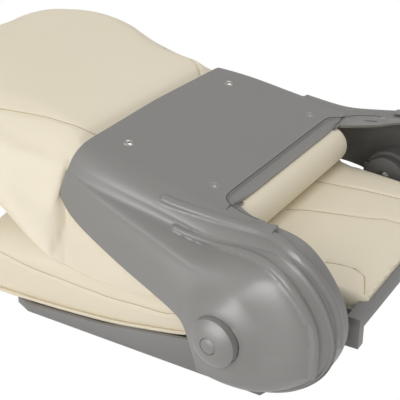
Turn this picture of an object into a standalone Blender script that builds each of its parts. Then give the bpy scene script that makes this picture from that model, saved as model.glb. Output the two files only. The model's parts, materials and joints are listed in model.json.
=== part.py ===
"""Folding boat seat, folded down: moulded pan, seat cushion, and a back that swings on two hinge bolts.

Lengths are metres, +Z is up, -Y is the front of the seat, and the origin is the centre of the
mounting pattern on the pan underside.  The profiles below are written from the hinge axis.
"""

import math

import bmesh
import bpy
from mathutils import Matrix, Vector
from mathutils.bvhtree import BVHTree

# Hinge axis, measured from the centre of the mounting pattern.
HINGE_Y = 0.125
HINGE_Z = 0.088
TOUCH_GAP = 0.0003
WELD = 0.000001

# Half width of the pan: every other width is measured from it, outward positive.
PAN_HALF = 0.2250

# Back panel: a flat plate that leans 11 degrees over the seat when folded.
PANEL_Z = 0.107
PANEL_REF_Y = -0.084
PANEL_SLOPE = 0.198
SHELL_WALL = 0.0045

# Side of the back shell, one row per station: top line y and z, then how far the end of the flat,
# the shoulder and the free edge lie outside the pan, and y and z of the free edge.
SHELL_STATIONS = (
    (-0.2470, 0.1393, -0.0750, -0.0410, -0.0370, -0.2700, 0.0730),
    (-0.2300, 0.1359, -0.0690, -0.0360, -0.0310, -0.2580, 0.0570),
    (-0.2100, 0.1319, -0.0630, -0.0320, -0.0250, -0.2330, 0.0440),
    (-0.1880, 0.1276, -0.0600, -0.0300, -0.0170, -0.2010, 0.0350),
    (-0.1640, 0.1228, -0.0600, -0.0290, -0.0100, -0.1710, 0.0240),
    (-0.1390, 0.1179, -0.0600, -0.0280, -0.0030, -0.1410, 0.0150),
    (-0.1120, 0.1125, -0.0590, -0.0260, 0.0060, -0.1080, 0.0090),
    (-0.0860, 0.1074, -0.0580, -0.0240, 0.0160, -0.0770, 0.0030),
    (-0.0620, 0.1040, -0.0560, -0.0210, 0.0220, -0.0600, 0.0000),
    (-0.0450, 0.1030, -0.0530, -0.0180, 0.0260, -0.0500, -0.0060),
    (-0.0250, 0.1030, -0.0480, -0.0140, 0.0290, -0.0430, -0.0130),
    (0.0000, 0.1035, -0.0410, -0.0090, 0.0320, -0.0370, -0.0200),
    (0.0250, 0.1045, -0.0320, -0.0040, 0.0340, -0.0340, -0.0280),
    (0.0460, 0.1075, -0.0220, 0.0010, 0.0350, -0.0320, -0.0340),
)
# Drum of the shell round the hinge: angle above +Y, radius, and how far the inner edge of the rim
# lies outside the pan.
DRUM_STATIONS = (
    (60, 0.1280, -0.0320),
    (48, 0.1280, -0.0260),
    (36, 0.1280, -0.0250),
    (24, 0.1280, -0.0250),
    (12, 0.1280, -0.0250),
    (0, 0.1280, -0.0220),
    (-12, 0.1160, 0.0040),
    (-26, 0.1030, 0.0040),
    (-40, 0.0935, 0.0040),
    (-54, 0.0860, 0.0040),
    (-68, 0.0785, 0.0040),
    (-82, 0.0725, 0.0040),
    (-96, 0.0685, 0.0040),
)
DRUM_EDGE_OUT = 0.0360
DRUM_SHOULDER_OUT = 0.0130
DRUM_EDGE_X = PAN_HALF + DRUM_EDGE_OUT
DRUM_EDGE_START = (-0.031, -0.037)
DRUM_EDGE_END = (-0.029, -0.058)
DRUM_SHOULDER_X = PAN_HALF + DRUM_SHOULDER_OUT
DRUM_ROUND = 0.007
DRUM_RISE_LENGTH = 0.062
RIM_LAND = 0.006
LAST_PANEL_STATION = 9
RIM_ROUND_SHARE = 0.35
RIM_FLAT_SHARE = 0.60
LIP_EDGES = (-0.085, -0.070, -0.063, -0.052, -0.037)
LIP_CRESTS = (-0.062, -0.059, -0.053, -0.044, -0.033)
LIP_DROP = 0.010
PANEL_SHARES = (0.0, 0.3, 0.6, 0.8, 0.9, 0.97)
PANEL_BOW = 0.004
ROUND_STEPS = 4
FACE_SHARES = (0.12, 0.27, 0.45, 0.64, 0.82, 1.0)
CORNER_DROP = 0.030

# Raised ribs on the corners of the shell: outside the pan, y and z along each crest.
OUTER_RIB = (
    (-0.0380, -0.1151, 0.1057), (-0.0379, -0.0948, 0.1025), (-0.0387, -0.0682, 0.1000),
    (-0.0356, -0.0358, 0.1000), (-0.0305, -0.0047, 0.1019), (-0.0267, 0.0162, 0.1033),
    (-0.0229, 0.0305, 0.1047), (-0.0133, 0.0474, 0.1073), (-0.0011, 0.0653, 0.1099),
    (-0.0014, 0.0773, 0.1012), (-0.0009, 0.0898, 0.0905), (-0.0018, 0.1004, 0.0787),
    (-0.0027, 0.1076, 0.0682), (-0.0044, 0.1144, 0.0565), (-0.0024, 0.1222, 0.0358),
    (0.0037, 0.1261, 0.0180), (0.0096, 0.1263, 0.0052),
)
INNER_RIB = (
    (-0.0250, -0.0923, 0.0806), (-0.0235, -0.0753, 0.0790), (-0.0213, -0.0577, 0.0784),
    (-0.0146, -0.0274, 0.0813), (-0.0069, 0.0024, 0.0854), (0.0024, 0.0260, 0.0896),
    (0.0136, 0.0463, 0.0944), (0.0201, 0.0604, 0.0935), (0.0210, 0.0715, 0.0841),
    (0.0207, 0.0813, 0.0747), (0.0211, 0.0901, 0.0642), (0.0208, 0.0976, 0.0517),
    (0.0205, 0.1039, 0.0399), (0.0215, 0.1074, 0.0244), (0.0232, 0.1080, 0.0065),
    (0.0183, 0.1037, -0.0210),
)
RIB_HALF = 0.0058
RIB_HEIGHT = 0.0034
RIB_ROOT = 0.0030
RIB_ARC_STEPS = 4
# Raised lip round the opening between the arms, near half.
OPENING_LIP_Y = -0.0615
OPENING_LIP = ((-0.165, -0.0612), (-0.115, -0.0608), (-0.090, -0.0600), (-0.080, -0.0575), (-0.072, -0.0530))
OPENING_LIP_HALF = 0.0035
OPENING_LIP_HEIGHT = 0.0016

# Hinge stack on the near side; the far side is its mirror image.
CAP_R = 0.0290
CAP_CLEARANCE = 0.0005
CAP_POCKET_R = CAP_R + CAP_CLEARANCE
CAP_RIM_HEIGHT = 0.0120
CAP_CROWN = 0.0070
CAP_CROWN_STEPS = 5
CAP_CROWN_SHARE = 0.78
CAP_TILT = math.radians(6.5)
CAP_SINK = 0.0020
PLUG_R = 0.0095
PLUG_CLEARANCE = 0.0006
PLUG_POCKET_R = PLUG_R + PLUG_CLEARANCE
PLUG_DEPTH = 0.0060
PLUG_CROWN = 0.0008
PLUG_FLAT_SHARE = 0.80
BOLT_R = 0.0050
BOLT_CLEARANCE = 0.0004
BOLT_TAIL = 0.0100
BOLT_HEAD_R = 0.0095
BOLT_HEAD_HEIGHT = 0.0060
HEAD_CLEARANCE = 0.0010
HEAD_POCKET_R = BOLT_HEAD_R + HEAD_CLEARANCE
BUSHING_BORE_R = BOLT_R + BOLT_CLEARANCE
BUSHING_WALL = 0.0036
BUSHING_R = BUSHING_BORE_R + BUSHING_WALL
BUSHING_SPAN = 0.0280
BORE_R = BUSHING_R + TOUCH_GAP
HUB_WALL = 0.0045
HUB_R = CAP_POCKET_R + HUB_WALL
HUB_SWELL = 0.0072
HUB_SWELL_WIDTH = 0.0300
EAR_R = 0.030
EAR_STAND = 0.0005
EAR_THICK = 0.0135
EAR_OUTER_X = PAN_HALF + EAR_STAND
EAR_INNER_X = EAR_OUTER_X - EAR_THICK
HUB_STAND = 0.0025
HUB_INNER_X = EAR_OUTER_X + HUB_STAND
BOLT_SEAT_X = HUB_INNER_X + BUSHING_SPAN
HEAD_ROOM = 0.0045
HUB_OUTER_X = BOLT_SEAT_X + BOLT_HEAD_HEIGHT + HEAD_ROOM
BOLT_END_X = EAR_INNER_X - BOLT_TAIL
CAP_FLOOR_X = HUB_OUTER_X - CAP_SINK
THRUST_R = 0.0240
NUT_WASHER_R = 0.0110
NUT_WASHER_THICK = 0.0016
NUT_R = 0.0092
NUT_HEIGHT = 0.0065
NUT_SIDES = 6

# Screws that hold the back cushion, in their cup washers.
CUSHION_SCREW_ROWS = ((-0.095, -0.084), (-0.101, -0.208))
CUSHION_SCREWS = tuple((PAN_HALF + out, y) for out, y in CUSHION_SCREW_ROWS)
CUP_R = 0.0074
CUP_HEIGHT = 0.0022
CUP_RADIUS_SHARES = (0.93, 0.72)
CUP_HEIGHT_SHARES = (0.80, 0.60)
SCREW_R = 0.0020
SCREW_CLEARANCE = 0.0004
SCREW_HOLE_R = SCREW_R + SCREW_CLEARANCE
SCREW_HEAD_R = 0.0044
SCREW_HEAD_HEIGHT = 0.0024
SCREW_HEAD_SHARE = 0.72
SCREW_GRIP = 0.0100
CUP_HOLE_R = SCREW_HOLE_R + TOUCH_GAP

# Board inside the back cushion.
BACK_BOARD_INSET = 0.079
BACK_BOARD_X = PAN_HALF - BACK_BOARD_INSET
BACK_BOARD_FRONT = -0.238
BACK_BOARD_REAR = -0.072
BACK_BOARD_THICK = 0.0060

# Pan.
PAN_BOTTOM = -0.088
PAN_WALL = 0.0050
PAN_FRONT = -0.335
PAN_CORNER = 0.030
PAN_CORNER_SHARES = (0.35, 0.18)
PAN_EAR_MARGIN = 0.004
PAN_EAR_FRONT = -EAR_R - PAN_EAR_MARGIN
PAN_EAR_REAR = EAR_R + PAN_EAR_MARGIN
PAN_WAIST_INSET = 0.035
PAN_WAIST_X = PAN_HALF - PAN_WAIST_INSET
PAN_WAIST_START = 0.046
PAN_WAIST_END = 0.080
PAN_TAIL_INSET = 0.068
PAN_TAIL_X = PAN_HALF - PAN_TAIL_INSET
PAN_TAIL_START = 0.086
PAN_TAIL_END = 0.118
PAN_EDGE = ((-0.335, -0.0790), (-0.189, -0.0680), (-0.060, -0.0460), (-0.042, -0.0400))
PAN_REAR_TOP = 0.0150
PAN_RIM_FRONT = 0.114
PAN_RIM_REAR = 0.130
PAN_RIM_BOTTOM = 0.0130
PAN_RIM_TOP = 0.0220
PAN_RIM_INSET = 0.043
PAN_RIM_X = PAN_HALF - PAN_RIM_INSET
BLOCK_WIDTH = 0.014
BLOCK_BOTTOM = -0.016
PAN_RIB_SHARE = 0.4667
PAN_RIB_X = PAN_RIB_SHARE * PAN_HALF
PAN_RIB_THICK = 0.006
PAN_SEAT_SHARE = 0.40

# Seat board: a flat plate that lies on the ribs of the pan.
BOARD_Y0 = -0.318
BOARD_Y1 = 0.104
BOARD_Z0 = -0.0740
BOARD_SLOPE = 0.1236
BOARD_THICK = 0.009
BOARD_INSET = 0.020
BOARD_X = PAN_HALF - BOARD_INSET
BOARD_NECK_Y = -0.052
BOARD_NECK_INSET = 0.077
BOARD_NECK_X = PAN_HALF - BOARD_NECK_INSET
BOARD_END_GAP = 0.002
BOARD_SCREW_ROWS = (-0.270, 0.040)
BOARD_SCREWS = tuple((PAN_RIB_X, y) for y in BOARD_SCREW_ROWS)
BOSS_CLEARANCE = 0.0024
BOSS_R = 0.0090
BOARD_SCREW_HEAD_R = 0.0050
BOARD_SCREW_POCKET_R = BOARD_SCREW_HEAD_R + HEAD_CLEARANCE
BOARD_SCREW_RECESS = 0.0120
BOARD_SCREW_RECESS_SHARE = 0.60
BOARD_SCREW_HEAD_HEIGHT = 0.0030
BOARD_SCREW_GRIP = 0.0070

# Mounting inserts in the pan floor, on a 127 mm square.
INSERT_HALF = 0.0635
INSERT_BORE_R = 0.0040
INSERT_WALL = 0.0015
INSERT_R = INSERT_BORE_R + INSERT_WALL
INSERT_FLANGE = 0.0045
INSERT_FLANGE_R = INSERT_R + INSERT_FLANGE
INSERT_HEIGHT = 0.0130
INSERT_FLANGE_THICK = 0.0016
INSERT_BOSS_WALL = 0.0075
INSERT_BOSS_R = INSERT_R + INSERT_BOSS_WALL

# Seat cushion, one row per station: y, how far its side and the end of its plateau lie outside the
# pan, then plateau z, side seam z and lower edge z.
SEAT_STATIONS = (
    (-0.3740, -0.0290, -0.1050, -0.0260, -0.0400, -0.0700),
    (-0.3660, -0.0170, -0.0990, -0.0080, -0.0300, -0.0765),
    (-0.3480, -0.0110, -0.0910, 0.0140, -0.0240, -0.0775),
    (-0.3150, -0.0090, -0.0830, 0.0280, -0.0240, -0.0755),
    (-0.2700, -0.0080, -0.0790, 0.0350, -0.0280, -0.0722),
    (-0.2200, -0.0080, -0.0780, 0.0380, -0.0320, -0.0685),
    (-0.1700, -0.0080, -0.0770, 0.0400, -0.0310, -0.0635),
    (-0.1200, -0.0080, -0.0770, 0.0400, -0.0270, -0.0550),
    (-0.0800, -0.0090, -0.0770, 0.0400, -0.0230, -0.0478),
    (-0.0600, -0.0130, -0.0770, 0.0390, -0.0200, -0.0440),
    (-0.0420, -0.0350, -0.0780, 0.0380, -0.0160, -0.0385),
    (-0.0200, -0.0450, -0.0790, 0.0360, -0.0120, -0.0250),
    (0.0150, -0.0510, -0.0810, 0.0340, -0.0080, -0.0200),
    (0.0500, -0.0570, -0.0830, 0.0320, -0.0040, -0.0150),
    (0.0780, -0.0735, -0.0850, 0.0305, 0.0040, -0.0110),
    (0.1000, -0.0735, -0.0870, 0.0300, 0.0100, -0.0090),
    (0.1120, -0.0735, -0.0890, 0.0295, 0.0160, -0.0080),
    (0.1130, -0.0735, -0.0900, 0.0295, 0.0260, 0.0226),
    (0.1230, -0.0790, -0.0950, 0.0280, 0.0260, 0.0240),
)
SEAT_NOSE = 0.006
# Plateau points from the middle outward, and how high each lies between the stitched channels.
SEAT_CROWN_SHARES = (0.0, 0.05, 0.20, 0.42, 0.60, 0.68, 0.76, 0.90, 1.0)
SEAT_CROWN_LIFTS = (-0.0016, 0.0010, 0.0019, 0.0019, 0.0009, -0.0016, 0.0009, 0.0010, 0.0)
SEAT_SHOULDER_STEPS = 6
SEAT_BASE_SHARES = (0.94, 0.5, 0.0)
SEAT_EDGE_SHARE = 0.5
SEAT_END_STATIONS = 2
PIPING_R = 0.0040
PIPING_OUT = 0.0004

# Back cushion.  Under the shell it fills the shell; above it the stations give top line y, how far
# its side and the end of its flat lie outside the pan, crown over the panel plane, seam depth and
# padding thickness.
UPPER_STATIONS = (
    (-0.5560, -0.1700, -0.2050, -0.0220, 0.0300, 0.0360),
    (-0.5480, -0.1070, -0.1650, -0.0080, 0.0400, 0.0480),
    (-0.5300, -0.0620, -0.1250, -0.0010, 0.0520, 0.0580),
    (-0.5000, -0.0280, -0.0890, 0.0010, 0.0620, 0.0620),
    (-0.4620, -0.0110, -0.0670, 0.0020, 0.0700, 0.0600),
    (-0.4200, -0.0050, -0.0610, 0.0020, 0.0800, 0.0560),
    (-0.3800, -0.0030, -0.0630, 0.0020, 0.0900, 0.0520),
    (-0.3400, -0.0020, -0.0670, 0.0010, 0.1040, 0.0500),
    (-0.3050, -0.0020, -0.0710, 0.0010, 0.1220, 0.0480),
    (-0.2760, -0.0020, -0.0730, 0.0000, 0.1340, 0.0480),
)
WING_SEAM = (
    (-0.0025, -0.2500, 0.0000),
    (-0.0020, -0.2320, -0.0030),
    (-0.0015, -0.2100, -0.0060),
    (-0.0010, -0.1870, -0.0070),
    (-0.0005, -0.1600, -0.0060),
    (0.0000, -0.1350, -0.0040),
    (0.0005, -0.1080, -0.0020),
    (0.0010, -0.0860, 0.0000),
)
PAD_THICK = 0.046
PAD_CROWN = 0.006
PAD_SAG = 0.0006
FACE_CROWN_SHARES = (0.62, 0.34, 0.0)
PAD_GAP = 0.0030
PAD_MOUTH_GAP = 0.0042
BACK_CHANNEL = 0.0016
UPPER_FLAT_MIN = 0.0060
NECK_STATION = 6
FACE_SHARES_OUT = (0.985, 0.955, 0.915, 0.840, 0.760)
FACE_SHARES_DOWN = (1.02, 1.0, 0.80, 0.50, 0.24)
FACE_CORNER_SHARES = (0.97, 0.86)
FACE_CORNER_DROP_SHARE = 0.05
FLARE_POWER = 1.6
FLARE_SHARES = (0.35, 0.6, 0.82)
FLARED_SIDE_SHARES = ((0.700, 0.015), (0.735, 0.055), (0.765, 0.12), (0.790, 0.20), (0.808, 0.28),
                      (0.825, 0.36), (0.836, 0.44), (0.847, 0.51), (0.858, 0.58), (0.873, 0.65),
                      (0.893, 0.72), (0.925, 0.80), (0.957, 0.88))
FLARED_FROM_Y = -0.290
ROUNDED_FROM_Y = -0.430
WING_THICK_SHARE = 0.72
ROLL_Y = -0.055
ROLL_Z = 0.0695
ROLL_R = 0.0266
ROLL_INSET = 0.078
ROLL_X = PAN_HALF - ROLL_INSET
ROLL_END_SHARES = ((0.55, 0.0), (0.85, 0.10), (1.0, 0.30))

SEGMENTS = 20
FINE_SEGMENTS = 40
CORD_SEGMENTS = 8


def clear_scene():
    for obj in list(bpy.data.objects):
        bpy.data.objects.remove(obj, do_unlink=True)


def material(name, color, roughness, metallic=0.0):
    mat = bpy.data.materials.new(name)
    mat.use_nodes = True
    shader = mat.node_tree.nodes["Principled BSDF"]
    shader.inputs["Base Color"].default_value = (*color, 1.0)
    shader.inputs["Roughness"].default_value = roughness
    shader.inputs["Metallic"].default_value = metallic
    mat.diffuse_color = (*color, 1.0)
    return mat


def place(x, y, z):
    """Hinge-frame position as a point of the part."""
    return Vector((x, y + HINGE_Y, z + HINGE_Z))


def panel_z(y):
    return PANEL_Z - (y - PANEL_REF_Y) * PANEL_SLOPE


def board_z(y):
    return BOARD_Z0 + (y - BOARD_Y0) * BOARD_SLOPE


def new_object(name, bm, mat, smooth_angle=None):
    bmesh.ops.recalc_face_normals(bm, faces=bm.faces)
    mesh = bpy.data.meshes.new(name)
    bm.to_mesh(mesh)
    bm.free()
    obj = bpy.data.objects.new(name, mesh)
    bpy.context.scene.collection.objects.link(obj)
    mesh.materials.append(mat)
    if smooth_angle is not None:
        mesh.shade_smooth()
        mesh.set_sharp_from_angle(angle=smooth_angle)
    return obj


def combine(obj, other, operation):
    """Apply one boolean and drop the tool body."""
    modifier = obj.modifiers.new("combine", "BOOLEAN")
    modifier.operation = operation
    modifier.solver = "EXACT"
    modifier.object = other
    depsgraph = bpy.context.evaluated_depsgraph_get()
    mesh = bpy.data.meshes.new_from_object(obj.evaluated_get(depsgraph))
    obj.modifiers.clear()
    bm = bmesh.new()
    bm.from_mesh(mesh)
    bmesh.ops.remove_doubles(bm, verts=bm.verts, dist=WELD)
    bm.to_mesh(mesh)
    bm.free()
    obj.data = mesh
    bpy.data.objects.remove(other, do_unlink=True)


def finish_smooth(obj, degrees):
    obj.data.shade_smooth()
    obj.data.set_sharp_from_angle(angle=math.radians(degrees))


def ring_body(name, profile, matrix, mat, segments=SEGMENTS, smooth=math.radians(35)):
    """Turn a closed (radius, height) profile about local Z; radius zero closes on the axis."""
    bm = bmesh.new()
    columns = []
    for radius, height in profile:
        if radius == 0.0:
            columns.append([bm.verts.new((0.0, 0.0, height))] * segments)
            continue
        turn = [2.0 * math.pi * k / segments for k in range(segments)]
        columns.append([bm.verts.new((radius * math.cos(a), radius * math.sin(a), height)) for a in turn])
    closed = profile[0][0] != 0.0
    pairs = list(zip(columns, columns[1:]))
    if closed:
        pairs.append((columns[-1], columns[0]))
    for lower, upper in pairs:
        for k in range(segments):
            corners = [lower[k], lower[(k + 1) % segments], upper[(k + 1) % segments], upper[k]]
            corners = list(dict.fromkeys(corners))
            if len(corners) > 2:
                bm.faces.new(corners)
    bmesh.ops.transform(bm, matrix=matrix, verts=bm.verts)
    return new_object(name, bm, mat, smooth)


def disc_profile(radius, low, high):
    return ((0.0, low), (radius, low), (radius, high), (0.0, high))


def tube_profile(outer, inner, low, high):
    return ((inner, low), (outer, low), (outer, high), (inner, high))


def hinge_matrix(side, x=0.0, tilt=0.0):
    """Local Z points outward along the hinge axis, from the given x."""
    outward = Matrix.Rotation(side * math.pi / 2.0, 4, "Y")
    lean = Matrix.Rotation(-side * tilt, 4, "Z")
    return Matrix.Translation(place(side * x, 0.0, 0.0)) @ lean @ outward


def upright_matrix(x, y, z):
    return Matrix.Translation(place(x, y, z))


def panel_matrix(x, y, lift=0.0):
    """Local Z is the panel normal, from the panel surface."""
    lean = Matrix.Rotation(-math.atan(PANEL_SLOPE), 4, "X")
    return Matrix.Translation(place(x, y, panel_z(y))) @ lean @ Matrix.Translation((0.0, 0.0, lift))


def cut_round(obj, radius, low, high, matrix, segments=SEGMENTS):
    tool = ring_body("tool", disc_profile(radius, low, high), matrix, obj.data.materials[0], segments, None)
    combine(obj, tool, "DIFFERENCE")


def add_round(obj, radius, low, high, matrix, segments=SEGMENTS):
    tool = ring_body("tool", disc_profile(radius, low, high), matrix, obj.data.materials[0], segments, None)
    combine(obj, tool, "UNION")


def prism(name, outline, low, high, mat, axis="Z"):
    """Extrude a hinge-frame outline: (x, y) along Z, or (y, z) along X."""
    bm = bmesh.new()
    rings = []
    for level in (low, high):
        if axis == "Z":
            rings.append([bm.verts.new(place(a, b, level)) for a, b in outline])
        else:
            rings.append([bm.verts.new(place(level, a, b)) for a, b in outline])
    bm.faces.new(rings[0])
    bm.faces.new(rings[1])
    count = len(outline)
    for k in range(count):
        follow = (k + 1) % count
        bm.faces.new((rings[0][k], rings[0][follow], rings[1][follow], rings[1][k]))
    return new_object(name, bm, mat)


def sheet_solid(name, rows, wall, mat):
    """Close a mirrored grid of outer points into a solid wall."""
    bm = bmesh.new()
    grid = []
    for row in rows:
        right = {k: bm.verts.new(p) for k, p in row.items()}
        left = {}
        for k, p in row.items():
            on_axis = p.x == 0.0
            left[k] = right[k] if on_axis else bm.verts.new((-p.x, p.y, p.z))
        grid.append((right, left))
    for (right0, left0), (right1, left1) in zip(grid, grid[1:]):
        for side0, side1, flip in ((right0, right1, False), (left0, left1, True)):
            for k in sorted(side0):
                if all(key in ring for ring in (side0, side1) for key in (k, k + 1)):
                    corners = [side0[k], side0[k + 1], side1[k + 1], side1[k]]
                    bm.faces.new(corners[::-1] if flip else corners)
    faces = list(bm.faces)
    bmesh.ops.recalc_face_normals(bm, faces=faces)
    if sum(f.normal.z * f.calc_area() for f in faces) < 0.0:
        bmesh.ops.reverse_faces(bm, faces=faces)
    obj = new_object_raw(name, bm, mat)
    modifier = obj.modifiers.new("wall", "SOLIDIFY")
    modifier.thickness = wall
    modifier.offset = -1.0
    modifier.use_even_offset = True
    depsgraph = bpy.context.evaluated_depsgraph_get()
    mesh = bpy.data.meshes.new_from_object(obj.evaluated_get(depsgraph))
    obj.modifiers.clear()
    obj.data = mesh
    return obj


def new_object_raw(name, bm, mat):
    mesh = bpy.data.meshes.new(name)
    bm.to_mesh(mesh)
    bm.free()
    obj = bpy.data.objects.new(name, mesh)
    bpy.context.scene.collection.objects.link(obj)
    mesh.materials.append(mat)
    return obj


def side_columns(top, flat_x, shoulder_x, edge, rise_length, drop):
    """Outer points of one station from the end of the flat, round the shoulder, to the free edge."""
    top_y, top_z = top
    edge_x, edge_y, edge_z_value = edge
    span = Vector((edge_y - top_y, edge_z_value - top_z))
    length = span.length
    along = span / length
    points = [(flat_x, top_y, top_z)]
    for step in range(1, ROUND_STEPS + 1):
        turn = 0.5 * math.pi * step / ROUND_STEPS
        inset = drop * (1.0 - math.cos(turn))
        out = flat_x + (shoulder_x - flat_x) * math.sin(turn)
        points.append((out, top_y + along.x * inset, top_z + along.y * inset))
    for share in FACE_SHARES:
        inset = drop + (length - drop) * share
        rise = min(inset / rise_length, 1.0)
        out = shoulder_x + (edge_x - shoulder_x) * (1.0 - (1.0 - rise) ** 2)
        points.append((out, top_y + along.x * inset, top_z + along.y * inset))
    return points


def shell_station(index):
    """Top line, end of the flat, shoulder and free edge of one station."""
    top_y, top_z, flat, shoulder, edge, edge_y, edge_z = SHELL_STATIONS[index]
    return (top_y, top_z), PAN_HALF + flat, PAN_HALF + shoulder, (PAN_HALF + edge, edge_y, edge_z)


def swelled(point):
    """Raise a point of the drum toward the land round the hinge cap."""
    x, y, z = point
    share = (CAP_POCKET_R + HUB_SWELL_WIDTH - math.hypot(y, z)) / HUB_SWELL_WIDTH
    share = min(max(share, 0.0), 1.0)
    if x < HUB_INNER_X:
        return point
    return (x + HUB_SWELL * share * share * (3.0 - 2.0 * share), y, z)


def panel_row(index):
    """Points of the flat panel at one station, from the middle outward."""
    (top_y, _top_z), flat_x, _shoulder_x, _edge = shell_station(index)
    row = {}
    for k, share in enumerate(PANEL_SHARES):
        y = top_y - PANEL_BOW * (1.0 - share) if index == 0 else top_y
        row[k] = place(flat_x * share, y, panel_z(y))
    return row


def lip_row(index, blend):
    """Rolled lip along the inner edge of an arm at one station."""
    (top_y, top_z), _flat_x, _shoulder_x, _edge = shell_station(index)
    first = len(PANEL_SHARES)
    edge_x = PAN_HALF + LIP_EDGES[index - LAST_PANEL_STATION]
    crest_x = PAN_HALF + LIP_CRESTS[index - LAST_PANEL_STATION]
    edge_z = top_z - LIP_DROP * (1.0 - blend)
    if index == LAST_PANEL_STATION:
        edge_z = panel_z(top_y)
    return {first - 2: place(edge_x, top_y, edge_z), first - 1: place(crest_x, top_y, top_z)}


def shell_rows():
    """Outer surface of the back shell: panel and corners first, then the two arms and drums."""
    rows = []
    first = len(PANEL_SHARES)
    for index in range(len(SHELL_STATIONS)):
        top, flat_x, shoulder_x, edge = shell_station(index)
        length = math.hypot(edge[1] - top[0], edge[2] - top[1])
        blend = max(0.0, (index - LAST_PANEL_STATION) / (len(SHELL_STATIONS) - LAST_PANEL_STATION))
        rise = length + (DRUM_RISE_LENGTH - length) * blend
        drop = CORNER_DROP + (DRUM_ROUND - CORNER_DROP) * blend
        row = panel_row(index) if index <= LAST_PANEL_STATION else {}
        if index >= LAST_PANEL_STATION:
            row.update(lip_row(index, blend))
        for k, point in enumerate(side_columns(top, flat_x, shoulder_x, edge, rise, drop)):
            row[first + k] = place(*swelled(point))
        rows.append(row)
    return rows + drum_rows()


def drum_rows():
    """Outer surface of a drum: a fan of stations from the rim to the free edge."""
    rows = []
    first = len(PANEL_SHARES)
    start = Vector(DRUM_EDGE_START)
    end = Vector(DRUM_EDGE_END)
    for index, (degrees, radius, inner) in enumerate(DRUM_STATIONS):
        angle = math.radians(degrees)
        inner_x = PAN_HALF + inner
        top = (radius * math.cos(angle), radius * math.sin(angle))
        low = start.lerp(end, index / (len(DRUM_STATIONS) - 1))
        edge = (DRUM_EDGE_X, low.x, low.y)
        round_x = inner_x + RIM_ROUND_SHARE * RIM_LAND
        row = {first - 2: place(inner_x, *top), first - 1: place(round_x, *top)}
        flat_x = max(DRUM_SHOULDER_X - DRUM_ROUND, inner_x + RIM_FLAT_SHARE * RIM_LAND)
        columns = side_columns(top, flat_x, DRUM_SHOULDER_X, edge, DRUM_RISE_LENGTH, DRUM_ROUND)
        for k, point in enumerate(columns):
            row[first + k] = place(*swelled(point))
        rows.append(row)
    return rows


def surface_of(obj):
    """Search tree of an object's faces."""
    bm = bmesh.new()
    bm.from_mesh(obj.data)
    tree = BVHTree.FromBMesh(bm)
    bm.free()
    return tree


def ridge(name, crest, surface, half, height, mat):
    """Rounded bar that lies on a surface along a crest line and is rooted in it."""
    seats = [surface.find_nearest(point) for point in crest]
    bm = bmesh.new()
    rings = []
    for index, (point, normal, _face, _distance) in enumerate(seats):
        ahead = seats[min(index + 1, len(seats) - 1)][0]
        behind = seats[max(index - 1, 0)][0]
        across = (ahead - behind).cross(normal).normalized()
        section = [point - across * half - normal * RIB_ROOT]
        for step in range(RIB_ARC_STEPS + 1):
            turn = math.pi * step / RIB_ARC_STEPS
            section.append(point - across * half * math.cos(turn) + normal * height * math.sin(turn))
        section.append(point + across * half - normal * RIB_ROOT)
        rings.append([bm.verts.new(p) for p in section])
    count = len(rings[0])
    for ring0, ring1 in zip(rings, rings[1:]):
        for k in range(count):
            follow = (k + 1) % count
            bm.faces.new((ring0[k], ring0[follow], ring1[follow], ring1[k]))
    bm.faces.new(rings[0])
    bm.faces.new(rings[-1])
    return new_object(name, bm, mat)


def add_ridges(shell, mats):
    """Two ribs on each corner and the lip round the opening."""
    surface = surface_of(shell)
    for side in (1, -1):
        for table in (OUTER_RIB, INNER_RIB):
            crest = [place(side * (PAN_HALF + out), y, z) for out, y, z in table]
            combine(shell, ridge("tool", crest, surface, RIB_HALF, RIB_HEIGHT, mats["shell"]), "UNION")
    near = [place(PAN_HALF + out, y, panel_z(y)) for out, y in OPENING_LIP]
    middle = [place(0.0, OPENING_LIP_Y, panel_z(OPENING_LIP_Y))]
    crest = [Vector((-p.x, p.y, p.z)) for p in reversed(near)] + middle + near
    lip = ridge("tool", crest, surface, OPENING_LIP_HALF, OPENING_LIP_HEIGHT, mats["shell"])
    combine(shell, lip, "UNION")


def build_back_shell(mats):
    shell = sheet_solid("back_shell", shell_rows(), SHELL_WALL, mats["shell"])
    add_ridges(shell, mats)
    for side in (1, -1):
        base = hinge_matrix(side)
        opening_r = 0.5 * (HUB_R + HEAD_POCKET_R)
        cut_round(shell, opening_r, HUB_INNER_X - CAP_R, HUB_OUTER_X + CAP_R, base, FINE_SEGMENTS)
        profile = ((BORE_R, HUB_INNER_X), (HUB_R, HUB_INNER_X), (HUB_R, HUB_OUTER_X),
                   (HEAD_POCKET_R, HUB_OUTER_X), (HEAD_POCKET_R, BOLT_SEAT_X), (BORE_R, BOLT_SEAT_X))
        hub = ring_body("tool", profile, base, mats["shell"], FINE_SEGMENTS, None)
        combine(shell, hub, "UNION")
        tilted = hinge_matrix(side, CAP_FLOOR_X, CAP_TILT)
        cut_round(shell, CAP_POCKET_R, 0.0, CAP_R, tilted, FINE_SEGMENTS)
        for x, y in CUSHION_SCREWS:
            cut_round(shell, SCREW_HOLE_R, -CUP_R, CUP_R, panel_matrix(side * x, y))
    finish_smooth(shell, 38)
    return shell


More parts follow.
